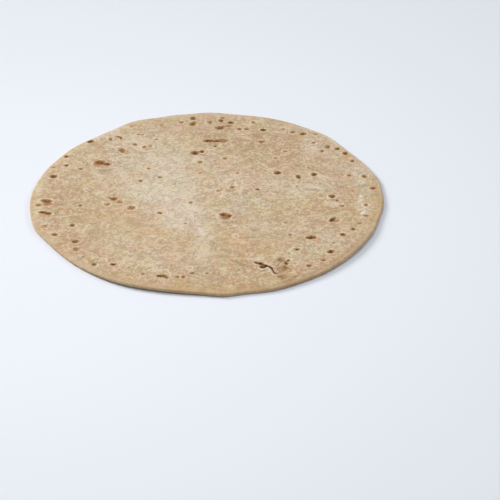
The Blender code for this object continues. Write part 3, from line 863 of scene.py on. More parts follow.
class Sheet:
    """The bread's vertices as arrays: the face's grid, the rim's rings, then the underside's grid."""

    def __init__(self, form):
        rng = np.random.default_rng(SEED)
        self.form = form
        self.rounding = form.rim_rounding / MM
        self.centre, self.stretch, self.highest = fitted_to_frame()
        (over, over_depths), (under, under_depths) = face_marks(), underside_marks(rng)
        self.marks, self.depths = (over, under), (over_depths, under_depths)
        self.blisters = with_chance_blisters(BLISTERS, rng), with_chance_blisters((), rng)

        share, angle = drawn_to_tear(*disc_grid(FACE_CELLS))
        ring = border_ring(FACE_CELLS)
        self.ring_angle = angle[ring]
        stray, wavelength, seed = ROUNDING_STRAYS
        wander = lattice_noise(*round_the_rim(self.ring_angle), wavelength, seed)
        self.ring_rounding = self.rounding * (1.0 + stray * wander)

        face = self.face(share, angle, rng)
        underside = self.underside(*disc_grid(UNDERSIDE_CELLS))
        under_ring = border_ring(UNDERSIDE_CELLS)
        top = face.z[ring]
        bottom = self.along_ring(self.ring_angle, underside.angle[under_ring], underside.z[under_ring])
        rim = self.rim(top, bottom)
        self.direction, self.x, self.y, self.z, self.from_rim = (
            np.concatenate([getattr(patch, name).ravel() for patch in (face, rim, underside)])
            for name in ("angle", "x", "y", "z", "from_rim")
        )
        self.laid_out = np.stack(
            [
                np.concatenate([face.radius, from_middle.ravel(), underside.radius])
                for from_middle in self.laid_out_rim(top, rim, bottom)
            ]
        )
        self.is_face = np.arange(len(self.x)) < len(face.x) + FACE_BANDS * len(ring)
        self.placed = place_in_tables(self.x, self.y)
        self.build_faces(ring, len(face.x), len(face.x) + rim.x.size)

    @staticmethod
    def along_ring(angle, ring_angle, values):
        """A ring's values at other directions, on straight lines between its points."""
        return np.interp(angle, ring_angle, values, period=2 * np.pi)

    def in_plan(self, radius, angle):
        """Plan place of a radius and direction, moved and stretched to the frame's box."""
        x = (radius * np.cos(angle) - self.centre[0]) * self.stretch[0]
        y = (radius * np.sin(angle) - self.centre[1]) * self.stretch[1]
        return x, y

    def face(self, share, angle, rng):
        """The face, out to where the rim's rounding starts: thickness, swells, relief and marks."""
        start = rim_radius(angle) - self.along_ring(angle, self.ring_angle, self.ring_rounding)
        radius = share * start
        x, y = self.in_plan(radius, angle)
        from_rim = rim_radius(angle) - radius
        fade = ramp(from_rim, RELIEF_STARTS_AT * self.rounding, self.form.smooth_border / MM)
        rough = self.form.relief * (fine_relief(x, y, FACE_RELIEF) + dome_relief(x, y, rng))
        z = underside_height(radius / rim_radius(angle), angle) + THICKNESS
        z += swell_height(radius * np.cos(angle), radius * np.sin(angle))
        placed = place_in_tables(x, y)
        craters = crater_relief(*placed, self.marks[0], self.depths[0])
        z += fade * (rough + blister_relief(*placed, self.blisters[0]))
        z += ridge_relief(*placed) + craters + tear_relief(*placed)
        z -= RIM_SINKS * (1.0 - ramp(from_rim, 0.0, RIM_SINK_WIDTH))
        return Patch(radius, angle, x, y, np.minimum(z, self.highest), from_rim)

    def underside(self, share, angle):
        """The underside, which touches the table where it doesn't bulge up or lift."""
        radius = share * (rim_radius(angle) - self.rounding)
        x, y = self.in_plan(radius, angle)
        hollow = fine_relief(x, y, UNDERSIDE_RELIEF)
        hollow = hollow - crater_relief(x, y, self.marks[1], self.depths[1])
        hollow -= blister_relief(x, y, self.blisters[1])
        z = underside_height(radius / rim_radius(angle), angle)
        z += np.maximum(0.0, self.form.relief * hollow)
        return Patch(radius, angle, x, y, z, rim_radius(angle) - radius)

    def rim(self, top, bottom):
        """The rim's rings: a quarter turn down to the outline and another down to the underside.

        The turn's cosine and sine, to the power of the rim's fullness, give how far out and how high
        a ring lies between where the rounding starts, the outline and the two sides.
        """
        share = np.arange(1, RIM_RINGS + 1)[:, None] / (RIM_RINGS + 1)
        turn = np.pi / 2.0 - np.pi * share
        bow = np.abs(np.cos(turn)) ** RIM_FULLNESS
        rise = np.sign(np.sin(turn)) * np.abs(np.sin(turn)) ** RIM_FULLNESS
        stray, wavelength, seed = OUTLINE_STRAYS
        ragged = stray * lattice_noise(*round_the_rim(self.ring_angle), wavelength, seed) - stray
        start = rim_radius(self.ring_angle) - self.ring_rounding
        radius = start + (self.ring_rounding + ragged) * bow
        angle = np.broadcast_to(self.ring_angle, radius.shape)
        x, y = self.in_plan(radius, angle)
        z = (top + bottom) / 2.0 + (top - bottom) / 2.0 * rise
        return Patch(radius, angle, x, y, z, self.ring_rounding - self.ring_rounding * share * 2.0)

    def laid_out_rim(self, top, rim, bottom):
        """How far out the rim's points lie on the skin laid flat, from the middle of either side."""
        edge = rim_radius(self.ring_angle)
        upper, lower = edge - self.ring_rounding, edge - self.rounding
        section_out = np.vstack([upper, rim.radius, lower])
        section_up = np.vstack([top, rim.z, bottom])
        climbed = np.cumsum(np.hypot(np.diff(section_out, axis=0), np.diff(section_up, axis=0)), 0)
        return upper + climbed[:-1], lower + climbed[-1] - climbed[:-1]

    def build_faces(self, ring, rings_at, underside_at):
        """The closed sheet's quads and triangles, facing out, and which wear the face's finish."""
        count = len(ring)
        rings = [ring] + [rings_at + k * count + np.arange(count) for k in range(RIM_RINGS)]
        bands = [band_quads(upper, lower) for upper, lower in zip(rings, rings[1:])]
        underside = grid_quads(UNDERSIDE_CELLS)[:, ::-1] + underside_at
        self.quads = np.concatenate([grid_quads(FACE_CELLS), *bands, underside])
        self.triangles = halving_triangles(rings[-1], border_ring(UNDERSIDE_CELLS) + underside_at)
        self.material = np.ones(len(self.quads) + len(self.triangles), np.int32)
        self.material[: FACE_CELLS**2 + FACE_BANDS * count] = 0

    def nearest_of_both(self, over, under, fades):
        """Each point's place in the nearest of its own side's marks, and that mark's three looks.

        Where a face's corners have different nearest marks, its corners' marks are put out of mind,
        so that no false spot shows between them.
        """
        number, place = nearest_mark(*self.placed, over, fades)
        under_number, under_place = nearest_mark(self.x, self.y, under, fades)
        number = np.where(self.is_face, number, len(over) + under_number)
        place = np.where(self.is_face[:, None], place, under_place)
        for faces in (self.quads, self.triangles):
            mixed_up = (number[faces] != number[faces][:, :1]).any(1)
            place[faces[mixed_up].ravel(), 2] = 0.0
        return place, np.vstack([over, under])[number, 5:8]

    def tear(self):
        """For the split: distance across it in half-widths and in millimetres, and its darkness."""
        across, width, dark = place_on_tear(*self.placed)
        near = self.is_face * (1.0 - ramp(np.abs(across), *TEAR_FADES))
        in_widths = np.clip(across / np.maximum(width, 0.2), -8.0, 8.0)
        held = np.clip(across, -TEAR_FADES[1], TEAR_FADES[1])
        return np.stack([in_widths, held, dark * near], 1)

    def zone(self, over, under):
        """How strong a soft zone is at each point: one table for the face, one for the underside."""
        return np.where(
            self.is_face, zone_strength(*self.placed, over), zone_strength(self.x, self.y, under)
        )

    def attributes(self):
        """All that the materials read by name: what each point is in, and how strongly.

        The layers of toasted marks and the blisters have a place and a look (dark, red, painted highlight
        on the rim, or painted highlight on the crest, painted shade in the crease, height). The zones are
        flour, which also lays a painted highlight along the back and left rim, warm and golden. A ridge
        is
        1 at its full height, and below 0 in a crease, which gets painted shade. Busy is how lively the
        dough's grain is.
        """
        upper, lower = (dealt_out(marks) for marks in self.marks)
        layers = zip(upper, lower, strict=True)
        found = {f"mark_{n}": self.nearest_of_both(*pair, MARK_FADES) for n, pair in enumerate(layers, 1)}
        found["blister"] = self.nearest_of_both(*self.blisters, BLISTER_FADES)
        for name, (place, look) in found.items():
            yield name, place
            yield f"{name}_look", look
        zones = (
            self.zone(FLOUR_AND_RIM_HIGHLIGHT_ZONES, UNDERSIDE_FLOUR),
            self.zone(WARM_ZONES, UNDERSIDE_WARM),
            self.zone(GOLD_ZONES, UNDERSIDE_GOLD),
        )
        yield "zones", np.stack(zones, 1)
        yield "tear", self.tear()
        yield "ridge", self.is_face * np.clip(ridge_relief(*self.placed) / FULL_RIDGE, -1.0, 1.0)
        yield "busy", np.where(self.is_face, zone_strength(*self.placed, BUSY_ZONES), UNDERSIDE_BUSY)
        yield "from_rim", self.from_rim


def mesh_of(sheet, name):
    """A mesh from the sheet's arrays, shaded smooth, with its attributes and its bake map."""
    mesh = bpy.data.meshes.new(name)
    places = np.stack([sheet.x, sheet.y, sheet.z], 1) * MM
    corners = np.concatenate([sheet.quads.ravel(), sheet.triangles.ravel()])
    quad_starts = 4 * np.arange(len(sheet.quads))
    triangle_starts = sheet.quads.size + 3 * np.arange(len(sheet.triangles))
    starts = np.concatenate([quad_starts, triangle_starts])
    mesh.vertices.add(len(places))
    mesh.vertices.foreach_set("co", places.astype(np.float32).ravel())
    mesh.loops.add(len(corners))
    mesh.loops.foreach_set("vertex_index", corners.astype(np.int32))
    mesh.polygons.add(len(starts))
    mesh.polygons.foreach_set("loop_start", starts.astype(np.int32))
    mesh.polygons.foreach_set("material_index", sheet.material)
    mesh.update(calc_edges=True)
    for label, values in sheet.attributes():
        add_attribute(mesh, label, values)
    add_bake_map(mesh, sheet, corners, starts)
    mesh.shade_smooth()
    return mesh


def add_attribute(mesh, name, values):
    """Stores one number or three for each vertex, for a material to read by name."""
    vector = values.ndim == 2
    stored = mesh.attributes.new(name, "FLOAT_VECTOR" if vector else "FLOAT", "POINT")
    stored.data.foreach_set("vector" if vector else "value", values.astype(np.float32).ravel())


def add_bake_map(mesh, sheet, corners, starts):
    """A map with the face's disc at the lower left and the underside's, smaller, at the upper right.

    Each disc is seen from outside, with its half of the rim laid out flat round it.
    """
    reach = sheet.laid_out.max(1)
    compass = np.stack([np.cos(sheet.direction), np.sin(sheet.direction)], 1)
    middle_above = BAKE_MARGIN + FACE_ON_MAP / 2.0
    middle_below = 1.0 - BAKE_MARGIN - UNDERSIDE_ON_MAP / 2.0
    above = middle_above + compass * (sheet.laid_out[0] / reach[0] * FACE_ON_MAP / 2.0)[:, None]
    below = compass * (-1.0, 1.0) * (sheet.laid_out[1] / reach[1] * UNDERSIDE_ON_MAP / 2.0)[:, None]
    wears_face = np.repeat(sheet.material == 0, np.diff(np.append(starts, len(corners))))
    chosen = np.where(wears_face[:, None], above[corners], middle_below + below[corners])
    layer = mesh.uv_layers.new(name="OFBake")
    layer.uv.foreach_set("vector", chosen.astype(np.float32).ravel())


# ---------------------------------------------------------------- shader building


class Level:
    """A value, place or colour inside a shader. Sums, products and the like of levels make nodes."""

    def __init__(self, tree, socket):
        self.tree = tree
        self.socket = socket

    def then(self, operation, *others):
        """One step of arithmetic on this value and others."""
        inputs = dict(enumerate((self, *others)))
        return add_node(self.tree, "ShaderNodeMath", inputs, operation=operation)[0]

    def __add__(self, other):
        return self.then("ADD", other)

    def __sub__(self, other):
        return self.then("SUBTRACT", other)

    def __mul__(self, other):
        return self.then("MULTIPLY", other)

    def __truediv__(self, other):
        return self.then("DIVIDE", other)

    def __abs__(self):
        return self.then("ABSOLUTE")

    def inverse(self):
        """One divided by this value."""
        return add_node(self.tree, "ShaderNodeMath", {0: 1.0, 1: self}, operation="DIVIDE")[0]

    def held(self):
        """The same value, which its own node now holds between 0 and 1."""
        self.socket.node.use_clamp = True
        return self

    def eased(self, low, high, to_low=0.0, to_high=1.0):
        """A smooth step of this value, from to_low at low to to_high at high."""
        limits = {"From Min": low, "From Max": high, "To Min": to_low, "To Max": to_high}
        inputs = {"Value": self, **limits}
        return add_node(self.tree, "ShaderNodeMapRange", inputs, interpolation_type="SMOOTHSTEP")[0]

    def near(self, middle, outer, inner=0.0):
        """1 where this value is within inner of the middle, easing out to 0 at outer from it."""
        return abs(self - middle).eased(outer, inner)

    def split(self):
        """The three numbers of this place."""
        parts = add_node(self.tree, "ShaderNodeSeparateXYZ", {0: self})
        return [parts[number] for number in range(3)]

    def drawn_out(self, share):
        """This place with its first number times a share, which draws patterns out along X."""
        inputs = {0: self, 1: (share, 1.0, 1.0)}
        return add_node(self.tree, "ShaderNodeVectorMath", inputs, operation="MULTIPLY")[0]

    def noise(self, scale, detail=2.0, roughness=0.55, distortion=0.0):
        """Noise about 0.5 at this place. Its scale is one over the width of its coarsest lumps."""
        inputs = {
            "Vector": self,
            "Scale": scale,
            "Detail": detail,
            "Roughness": roughness,
            "Distortion": distortion,
        }
        return add_node(self.tree, "ShaderNodeTexNoise", inputs, noise_dimensions="3D")["Fac"]

    def cells(self, spacing, feature="F1"):
        """A cell pattern: Distance from the nearest middle, in cell widths, and a chance Color."""
        inputs = {"Vector": self, "Scale": 1.0 / spacing}
        if feature == "SMOOTH_F1":
            inputs["Smoothness"] = 0.6
        settings = {"feature": feature, "voronoi_dimensions": "3D"}
        return add_node(self.tree, "ShaderNodeTexVoronoi", inputs, **settings)

    def mixed(self, first, second):
        """Two colours mixed, with this value as the share of the second."""
        inputs = {0: self, 6: first, 7: second}
        return add_node(self.tree, "ShaderNodeMix", inputs, data_type="RGBA", clamp_factor=True)[2]

    def through(self, group, **inputs):
        """What a group gives at this place."""
        return add_node(self.tree, "ShaderNodeGroup", {"Place": self, **inputs}, node_tree=group)


def outputs_of(tree, node):
    """A node's outputs as levels, by number and by name."""
    return {
        key: Level(tree, socket)
        for number, socket in enumerate(node.outputs)
        for key in (number, socket.name)
    }


def add_node(tree, kind, inputs=(), **settings):
    """Adds a node, fills its inputs (a level is linked, a value is set) and returns its outputs."""
    node = tree.nodes.new(kind)
    for name, value in settings.items():
        setattr(node, name, value)
    for name, value in dict(inputs).items():
        if isinstance(value, Level):
            tree.links.new(value.socket, node.inputs[name])
        else:
            node.inputs[name].default_value = value
    return outputs_of(tree, node)


def attribute(tree, name, output="Vector"):
    """What the mesh has stored under a name: three numbers, or one where the output is Fac."""
    return add_node(tree, "ShaderNodeAttribute", attribute_name=name)[output]


def weighted_sum(*terms, offset=0.0):
    """The sum of each value times its weight, and an offset."""
    total = offset
    for value, weight in terms:
        total = value.then("MULTIPLY_ADD", weight, total)
    return total


def new_group(name, *places, **values):
    """An empty shader group that takes Place, more places and values, and its inputs as levels."""
    tree = bpy.data.node_groups.new(name, "ShaderNodeTree")
    for label in ("Place", *places):
        tree.interface.new_socket(label, in_out="INPUT", socket_type="NodeSocketVector")
    for label, default in values.items():
        socket = tree.interface.new_socket(label, in_out="INPUT", socket_type="NodeSocketFloat")
        socket.default_value = default
    return tree, outputs_of(tree, tree.nodes.new("NodeGroupInput"))


def finished(tree, **outputs):
    """Gives a group its output values, and returns it."""
    for label in outputs:
        tree.interface.new_socket(label, in_out="OUTPUT", socket_type="NodeSocketFloat")
    result = tree.nodes.new("NodeGroupOutput")
    for label, level in outputs.items():
        tree.links.new(level.socket, result.inputs[label])
    return tree


# ---------------------------------------------------------------- the dough's shared effects


def dough_grain_group():
    """The dough's grain: light and dark masks, a tint, wrinkles, flecks of bran, and height.

    The tone is a weighted sum of crumbs, pebbles, ripples that run left to right, pale rings round
    pimples, and curls, with nearly the weights of the height: its light and dark masks are partly the
    dough's tone and partly painted highlight on the grain's raised tops and painted shade in its
    hollows. The tint is 0 where the dough is pinkish and 1 where it is olive. Curls and wrinkles lie
    where a noise passes through 0.5: wrinkles are a few long folds and, in patches, short strokes,
    grooves with painted shade in them. A fleck fills the middle of a rare cell. Height is in
    millimetres.
    """
    tree, given = new_group("Dough Grain", Bran=0.5)
    place = given["Place"]
    crumb = place.noise(1 / 2.0, roughness=0.6)
    pebble = place.noise(1 / 4.2, distortion=0.9)
    ripple = place.drawn_out(0.55).noise(1 / 4.6, roughness=0.5, distortion=0.7)
    ring = place.cells(3.6, "SMOOTH_F1")["Distance"].near(0.40, 0.14)
    curl = place.noise(1 / 5.0, detail=1.0, roughness=0.5, distortion=1.8).near(0.5, 0.035)
    # The tone takes nearly the relief's noises and weights, so its Light and Dark are partly painted
    # highlight on raised tops and painted shade in hollows.
    relief = (crumb, 0.42), (pebble, 0.60), (ripple, 0.38), (ring, 0.05), (curl, 0.04)
    tones = (crumb, 0.52), (pebble, 0.51), (ripple, 0.28), (ring, 0.05), (curl, 0.05)
    tone = weighted_sum(*tones, offset=-0.680)

    fine_tint = place.noise(1 / 8.0, detail=3.0, roughness=0.6, distortion=0.8)
    broad_tint = place.noise(1 / 24.0, roughness=0.5, distortion=0.6)
    tint = weighted_sum((fine_tint, 0.75), (broad_tint, 0.60), offset=-0.175)

    # Wrinkles: grooves in the height, and a mask of painted shade in them.
    drawn_out = place.drawn_out(0.42)
    folds = drawn_out.noise(1 / 15.0, roughness=0.45, distortion=0.8).near(0.5, 0.024, 0.002)
    strokes = drawn_out.noise(1 / 4.4, detail=1.0, roughness=0.5, distortion=1.0)
    strokes = strokes.near(0.5, 0.065, 0.005)
    some_folds = folds * place.noise(1 / 36.0, detail=1.0).eased(0.48, 0.60)
    some_strokes = strokes * place.noise(1 / 11.0).eased(0.46, 0.62)
    wrinkle = some_folds.then("MAXIMUM", some_strokes * 0.8)

    bran = place.cells(3.1)
    chance = add_node(tree, "ShaderNodeSeparateColor", {"Color": bran["Color"]})[0]
    fleck = (bran["Distance"] - chance * 0.24).eased(0.02, -0.08) * chance.eased(0.60, 0.85)
    return finished(
        tree,
        Light=tone.eased(0.0, 0.10),
        Dark=tone.eased(0.0, -0.10),
        Tint=tint.eased(0.38, 0.62),
        Wrinkle=wrinkle,
        Fleck=fleck * given["Bran"],
        Height=weighted_sum(*relief, (wrinkle, -0.15)),
    )


def toast_clouds_group():
    """Broad clouds of toasting: a zone's strength broken up by noise, and some of it everywhere."""
    tree, given = new_group("Toast Clouds", Zone=0.0, Everywhere=0.2, Wavelength=24.0)
    scale = given["Wavelength"].inverse()
    cloud = given["Place"].noise(scale, detail=4.0, roughness=0.6, distortion=0.4)
    swing = cloud.eased(0.32, 0.68, -0.5, 0.5)
    in_zone = (given["Zone"] + swing * 0.55) * (given["Zone"] + 0.35).held()
    everywhere = (swing + 0.5) * given["Everywhere"]
    return finished(tree, Amount=(in_zone + everywhere).held())


def flour_bloom_group():
    """Dusted flour: a mask of 9 mm clumps and 2.6 mm powder in its zones, and a powdery height."""
    tree, given = new_group("Flour Bloom", Zone=0.0, Everywhere=0.15)
    clump = given["Place"].noise(1 / 9.0, detail=4.0, roughness=0.62, distortion=0.5)
    powder = given["Place"].noise(1 / 2.6, detail=3.0, roughness=0.7)
    zone = given["Zone"] + given["Everywhere"]
    lifted = zone * 0.30 + (clump * 0.6 + powder * 0.4)
    amount = (lifted.eased(0.50, 0.86) * zone.eased(0.0, 0.35)).held()
    return finished(tree, Amount=amount, Height=amount * (powder * 0.10))


def distance_in_mark(mark):
    """How far out a point lies in its mark, in half-sizes, and the mark's size, 0 far from it."""
    along, across, size = mark.split()
    flat = add_node(mark.tree, "ShaderNodeCombineXYZ", {0: along, 1: across, 2: 0.0})[0]
    return add_node(mark.tree, "ShaderNodeVectorMath", {0: flat}, operation="LENGTH")["Value"], size


def blister_skin_group():
    """The edge of a low blister: a painted highlight on the crest just inside it and painted shade in the
    groove along it, broken up.

    Both are steps of the distance from the edge in millimetres, which strays by noise.
    """
    tree, given = new_group("Blister Skin", "Blister", "Look")
    place = given["Place"]
    away, size = distance_in_mark(given["Blister"])
    pale, dark, _ = given["Look"].split()
    broad = place.noise(1 / 14.0, roughness=0.5)
    wander = place.noise(1 / 5.0, detail=3.0, roughness=0.6)
    outside = (away + weighted_sum((broad, 0.9), (wander, 0.7), offset=-1.8)) * size
    broken = place.noise(1 / 9.0, detail=3.0, roughness=0.6)
    close = size.eased(0.0, 1.2) * away.eased(1.5, 1.3)
    # Painted shade in the groove along the blister's edge, which also sets the groove's depth.
    crease_shade = outside.near(0.3, 1.0, 0.1) * broken.eased(0.46, 0.58) * dark * close
    # Painted highlight on the blister's crest just inside its edge.
    crest = outside.near(-1.1, 1.2, 0.2) * broken.eased(0.56, 0.44) * pale * close
    height = weighted_sum((crease_shade, -0.18), (crest, 0.12))
    return finished(tree, Crest=crest, Crease=crease_shade, Height=height)


def toasted_mark_group():
    """One layer of marks, from where a point lies in its nearest mark.

    Burn runs from 0 at its ragged edge to the mark's darkness in its middle, Red is how red it is,
    Halo the toasted ground round it and Rim a painted highlight on its raised edge. Height is in
    millimetres.
    """
    tree, given = new_group("Toasted Mark", "Mark", "Look", Raggedness=3.5)
    place = given["Place"]
    away, mark_size = distance_in_mark(given["Mark"])
    dark, red, pale = given["Look"].split()
    close = mark_size.eased(0.0, 0.6) * away.eased(4.0, 3.4)
    size = mark_size.then("MAXIMUM", 0.6)
    wobble = place.noise(1 / 2.6, detail=3.0, roughness=0.65) - 0.5
    ragged = away + wobble * given["Raggedness"] / size
    mottle = place.noise(1 / 1.7).eased(0.34, 0.62, 0.66, 1.14)
    burn = (ragged.eased(1.85, 0.30) * close * dark * mottle).held()
    outside = (ragged - 1.0) * size
    strength = red.then("MAXIMUM", dark * 0.55)
    halo = (outside.eased(HALO_WIDTH, 0.0) * close * strength).held()
    broken = place.noise(1 / 4.5).eased(0.40, 0.60, 0.10, 1.0)
    # Rim: painted highlight on the mark's raised edge.
    rim = (outside.near(1.9, 1.0) * close * broken * 2.2 * pale).held()
    height = weighted_sum((burn, -0.35), (rim, 0.28))
    return finished(tree, Burn=burn, Red=red, Halo=halo, Rim=rim, Height=height)


def torn_skin_group():
    """The blister's split: Crack is dark along its path, Lip a painted highlight on the raised skin on
    both sides of it, all ragged.
    """
    tree, given = new_group("Torn Skin", "Tear")
    in_widths, across, dark = given["Tear"].split()
    wobble = given["Place"].noise(1 / 2.2, detail=3.0, roughness=0.65) - 0.5
    crack = (wobble * 2.0 + in_widths).near(0.0, 1.35, 0.45) * dark
    strayed = wobble * 1.5 + across
    lips = strayed.near(-2.4, 1.3) * 0.9 + strayed.near(2.6, 1.4) * 0.7
    lip = lips * dark.eased(0.3, 0.9)
    return finished(tree, Crack=crack, Lip=lip, Height=weighted_sum((crack, -0.5), (lip, 0.2)))


def shared_groups():
    """The groups that both finishes use, built once."""
    return {
        "grain": dough_grain_group(),
        "clouds": toast_clouds_group(),
        "flour": flour_bloom_group(),
        "blister": blister_skin_group(),
        "mark": toasted_mark_group(),
        "torn": torn_skin_group(),
    }


# ---------------------------------------------------------------- the bread's two finishes

FACE_FINISH = {"bran": 0.55, "warm": 0.31, "gold": 0.30, "flour": 0.20}
UNDERSIDE_FINISH = {"bran": 0.55, "warm": 0.45, "gold": 0.30, "flour": 0.10}
WARM_CLOUDS = 22.0  # millimetres
GOLD_CLOUDS = 15.0
ROUGHNESS = (0.82, 0.95)  # of bare dough, and under a full cover of flour
SPECULAR = 0.28


def bread_material(name, groups, colours, finish):
    """Baked dough: grain, toasting, flour and marks in colour, with painted shade in creases and painted
    highlight on raised crests, and the finest relief as bump.

    The colours are laid over each other in coats, each with its own share at each point.
    """
    material = bpy.data.materials.new(name)
    material.use_nodes = True
    tree = material.node_tree
    shader = tree.nodes["Principled BSDF"]
    metres = add_node(tree, "ShaderNodeTexCoord")["Object"]
    place = add_node(tree, "ShaderNodeVectorMath", {0: metres, "Scale": 1.0 / MM}, operation="SCALE")[0]
    flour_zone, warm_zone, gold_zone = attribute(tree, "zones").split()
    from_rim, busy, ridge = (attribute(tree, label, "Fac") for label in ("from_rim", "busy", "ridge"))

    grain = place.through(groups["grain"], Bran=finish["bran"])
    clouds = groups["clouds"]
    warm = place.through(clouds, Zone=warm_zone, Everywhere=finish["warm"], Wavelength=WARM_CLOUDS)
    gold = place.through(clouds, Zone=gold_zone, Everywhere=finish["gold"], Wavelength=GOLD_CLOUDS)
    flour = place.through(groups["flour"], Zone=flour_zone, Everywhere=finish["flour"])
    skin = place.through(
        groups["blister"], Blister=attribute(tree, "blister"), Look=attribute(tree, "blister_look")
    )
    spots = [
        place.through(
            groups["mark"],
            Mark=attribute(tree, f"mark_{number}"),
            Look=attribute(tree, f"mark_{number}_look"),
        )
        for number in range(1, MARK_LAYERS + 1)
    ]
    torn = place.through(groups["torn"], Tear=attribute(tree, "tear"))

    border = from_rim.eased(7.0, 2.5)
    calm = (border * -0.6 + 1.0) * (busy * 0.36 + 0.86)
    patchy = place.noise(1 / 3.0).eased(0.40, 0.56, 0.45, 1.0)
    coats = [
        (border * 0.60, colours.border),
        (warm["Amount"], colours.warm),
        (gold["Amount"] * 0.75, colours.golden),
        (flour["Amount"] * 0.85, colours.flour),
        (grain["Tint"].eased(0.45, 0.0, 0.0, 0.44) * calm, colours.pink),
        (grain["Tint"].eased(0.55, 1.0, 0.0, 0.44) * calm, colours.olive),
        # Grain shade and grain light: partly the dough's tone, partly painted shade in the grain's
        # hollows and painted highlight on its raised tops.
        (grain["Dark"] * 0.38 * calm, colours.shade),
        (grain["Light"] * 0.45 * calm, colours.light),
        # Painted shade in wrinkles and blister creases, and painted highlight on blister crests.
        (grain["Wrinkle"] * 0.34, colours.crease_shade),
        (skin["Crease"] * 0.45, colours.crease_shade),
        (skin["Crest"] * 0.60, colours.blister),
        # Painted highlight on raised ridges, and painted shade in the creases where a ridge is below 0.
        (ridge.eased(0.45, 0.95) * patchy * 0.75, colours.blister),
        (ridge.eased(-0.30, -0.85) * patchy * 0.62, colours.crease_shade),
        (grain["Fleck"], colours.bran),
        # Painted highlight on the torn blister's raised lips.
        (torn["Lip"] * 0.65, colours.blister),
    ]
    for spot in spots:
        coats.append((spot["Halo"] * 0.60, spot["Red"].mixed(colours.halo_gold, colours.halo_red)))
    # Painted highlight on the raised rims of marks.
    for spot in spots:
        coats.append((spot["Rim"] * 0.78, colours.ring))
    for spot in spots:
        ember = spot["Red"].mixed(colours.ember_olive, colours.ember_red)
        coats += [(spot["Burn"].eased(0.0, 0.56), ember), (spot["Burn"].eased(0.38, 1.0), colours.scorch)]
    coats.append((torn["Crack"].eased(0.0, 0.55), colours.ember_red))
    coats.append((torn["Crack"].eased(0.35, 0.95, 0.0, 0.85), colours.scorch))
    colour = colours.dough
    for share, coat in coats:
        colour = share.mixed(colour, coat)

    height = grain["Height"] * calm
    for relief in (flour, skin, *spots, torn):
        height = height + relief["Height"]
    bump = add_node(tree, "ShaderNodeBump", {"Height": height, "Distance": MM, "Strength": 1.0})
    roughness = flour["Amount"].eased(0.0, 1.0, *ROUGHNESS)
    tree.links.new(colour.socket, shader.inputs["Base Color"])
    tree.links.new(bump["Normal"].socket, shader.inputs["Normal"])
    tree.links.new(roughness.socket, shader.inputs["Roughness"])
    shader.inputs["Specular IOR Level"].default_value = SPECULAR
    return material


# ---------------------------------------------------------------- stage


def aimed(place, target):
    """A turn and place that look from one point to another, with the world's up as up."""
    place, target = Vector(place), Vector(target)
    turn = (target - place).to_track_quat("-Z", "Y").to_matrix().to_4x4()
    return Matrix.Translation(place) @ turn


def add_area_light(name, direction, elevation, distance, power, size, colour):
    """A square soft light that faces the bread's middle from a direction and elevation in degrees."""
    around, up = math.radians(direction), math.radians(elevation)
    place = distance * Vector(
        (math.cos(up) * math.cos(around), math.cos(up) * math.sin(around), math.sin(up))
    )
    data = bpy.data.lights.new(name, "AREA")
    data.shape = "SQUARE"
    data.size = size
    data.energy = power
    data.color = colour
    light = bpy.data.objects.new(name, data)
    light.matrix_world = aimed(place, (0.0, 0.0, 0.0))
    light.visible_camera = False
    bpy.context.scene.collection.objects.link(light)
    return light


def floor_material(colour):
    """A plain matt floor."""
    material = bpy.data.materials.new("studio_floor")
    material.use_nodes = True
    shader = material.node_tree.nodes["Principled BSDF"]
    shader.inputs["Base Color"].default_value = colour
    shader.inputs["Roughness"].default_value = 0.9
    shader.inputs["Specular IOR Level"].default_value = 0.1
    return material


# ---------------------------------------------------------------- operators and panel


class SAJ_OT_make_bread(Operator):
    """Makes the bread's visible sheet in place of the frame's plain one"""

    bl_idname = "saj.make_bread"
    bl_label = "Make the bread"
    bl_options = {"REGISTER", "UNDO"}

    def execute(self, context):
        sheet = Sheet(context.scene.saj_bread_form)
        mesh = mesh_of(sheet, "saj_bread")
        bread = bpy.data.objects.new("saj_bread", mesh)
        context.scene.collection.objects.link(bread)
        groups = shared_groups()
        colours = context.scene.saj_bread_colours
        mesh.materials.append(bread_material("toasted_face", groups, colours, FACE_FINISH))
        mesh.materials.append(bread_material("griddle_side", groups, colours, UNDERSIDE_FINISH))
        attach(bread, "root")
        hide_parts(NODE)
        return {"FINISHED"}


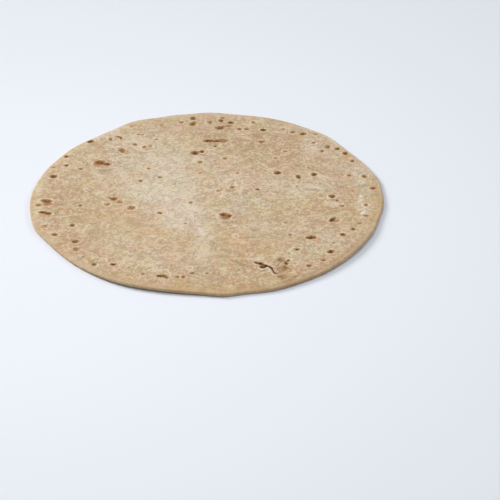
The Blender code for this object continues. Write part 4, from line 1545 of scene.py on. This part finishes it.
class SAJ_OT_make_stage(Operator):
    """Makes the pale floor, the soft lights, the even sky and the camera"""

    bl_idname = "saj.make_stage"
    bl_label = "Make the stage"
    bl_options = {"REGISTER", "UNDO"}

    def execute(self, context):
        scene = context.scene
        stage = scene.saj_bread_stage
        sides = ((-1, -1), (1, -1), (1, 1), (-1, 1))
        corners = [(FLOOR_HALF * x, FLOOR_HALF * y, 0.0) for x, y in sides]
        mesh = bpy.data.meshes.new("studio_floor")
        mesh.from_pydata(corners, [], [(0, 1, 2, 3)])
        mesh.materials.append(floor_material(stage.floor))
        floor = bpy.data.objects.new("studio_floor", mesh)
        scene.collection.objects.link(floor)
        for name, direction, elevation, distance, size, colour in STAGE_LIGHTS:
            power = getattr(stage, f"{name}_power")
            add_area_light(name, direction, elevation, distance, power, size, colour)
        world = bpy.data.worlds.new("studio_sky")
        world.use_nodes = True
        sky = world.node_tree.nodes["Background"]
        sky.inputs["Color"].default_value = SKY_COLOUR
        sky.inputs["Strength"].default_value = stage.sky_strength
        scene.world = world
        scene.view_settings.view_transform = "Standard"
        self.add_camera(scene)
        return {"FINISHED"}

    @staticmethod
    def add_camera(scene):
        """The camera looks along +Y and down at its target, at the photograph's angle of view."""
        data = bpy.data.cameras.new("camera")
        data.sensor_width = SENSOR_WIDTH
        data.lens = SENSOR_WIDTH / 2.0 / math.tan(math.radians(FIELD_OF_VIEW) / 2.0)
        data.clip_end = CAMERA_SEES_TO
        target = Vector(CAMERA_TARGET) * MM
        tilt = math.radians(CAMERA_ELEVATION)
        back = Vector((0.0, -math.cos(tilt), math.sin(tilt)))
        camera = bpy.data.objects.new("camera", data)
        camera.matrix_world = aimed(target + back * CAMERA_DISTANCE * MM, target)
        scene.collection.objects.link(camera)
        scene.camera = camera


class SAJ_PT_panel(Panel):
    """Lists the bread's sizes and colours, the stage's, and the operators that make them"""

    bl_label = "Saj Bread"
    bl_idname = "SAJ_PT_panel"
    bl_space_type = "VIEW_3D"
    bl_region_type = "UI"
    bl_category = "Saj Bread"

    def draw(self, context):
        """One box for each group of settings, with its operator under it"""
        for label, group, operator in (
            ("Form", context.scene.saj_bread_form, SAJ_OT_make_bread),
            ("Colours", context.scene.saj_bread_colours, None),
            ("Stage", context.scene.saj_bread_stage, SAJ_OT_make_stage),
        ):
            box = self.layout.box()
            box.label(text=label)
            for name in group.__annotations__:
                box.prop(group, name)
            if operator:
                box.operator(operator.bl_idname)


CLASSES = (
    SajBreadForm,
    SajBreadColours,
    SajBreadStage,
    SAJ_OT_make_bread,
    SAJ_OT_make_stage,
    SAJ_PT_panel,
)
SETTINGS = {
    "saj_bread_form": SajBreadForm,
    "saj_bread_colours": SajBreadColours,
    "saj_bread_stage": SajBreadStage,
}


def register():
    """Makes the classes known to Blender, and gives every scene the three groups of settings."""
    for kind in CLASSES:
        bpy.utils.register_class(kind)
    for name, kind in SETTINGS.items():
        setattr(bpy.types.Scene, name, PointerProperty(type=kind))


def unregister():
    """Takes away what register has added."""
    for name in SETTINGS:
        delattr(bpy.types.Scene, name)
    for kind in reversed(CLASSES):
        bpy.utils.unregister_class(kind)


def main():
    """Makes the stage and the bread."""
    register()
    bpy.ops.saj.make_stage()
    bpy.ops.saj.make_bread()


if __name__ == "__main__":
    main()
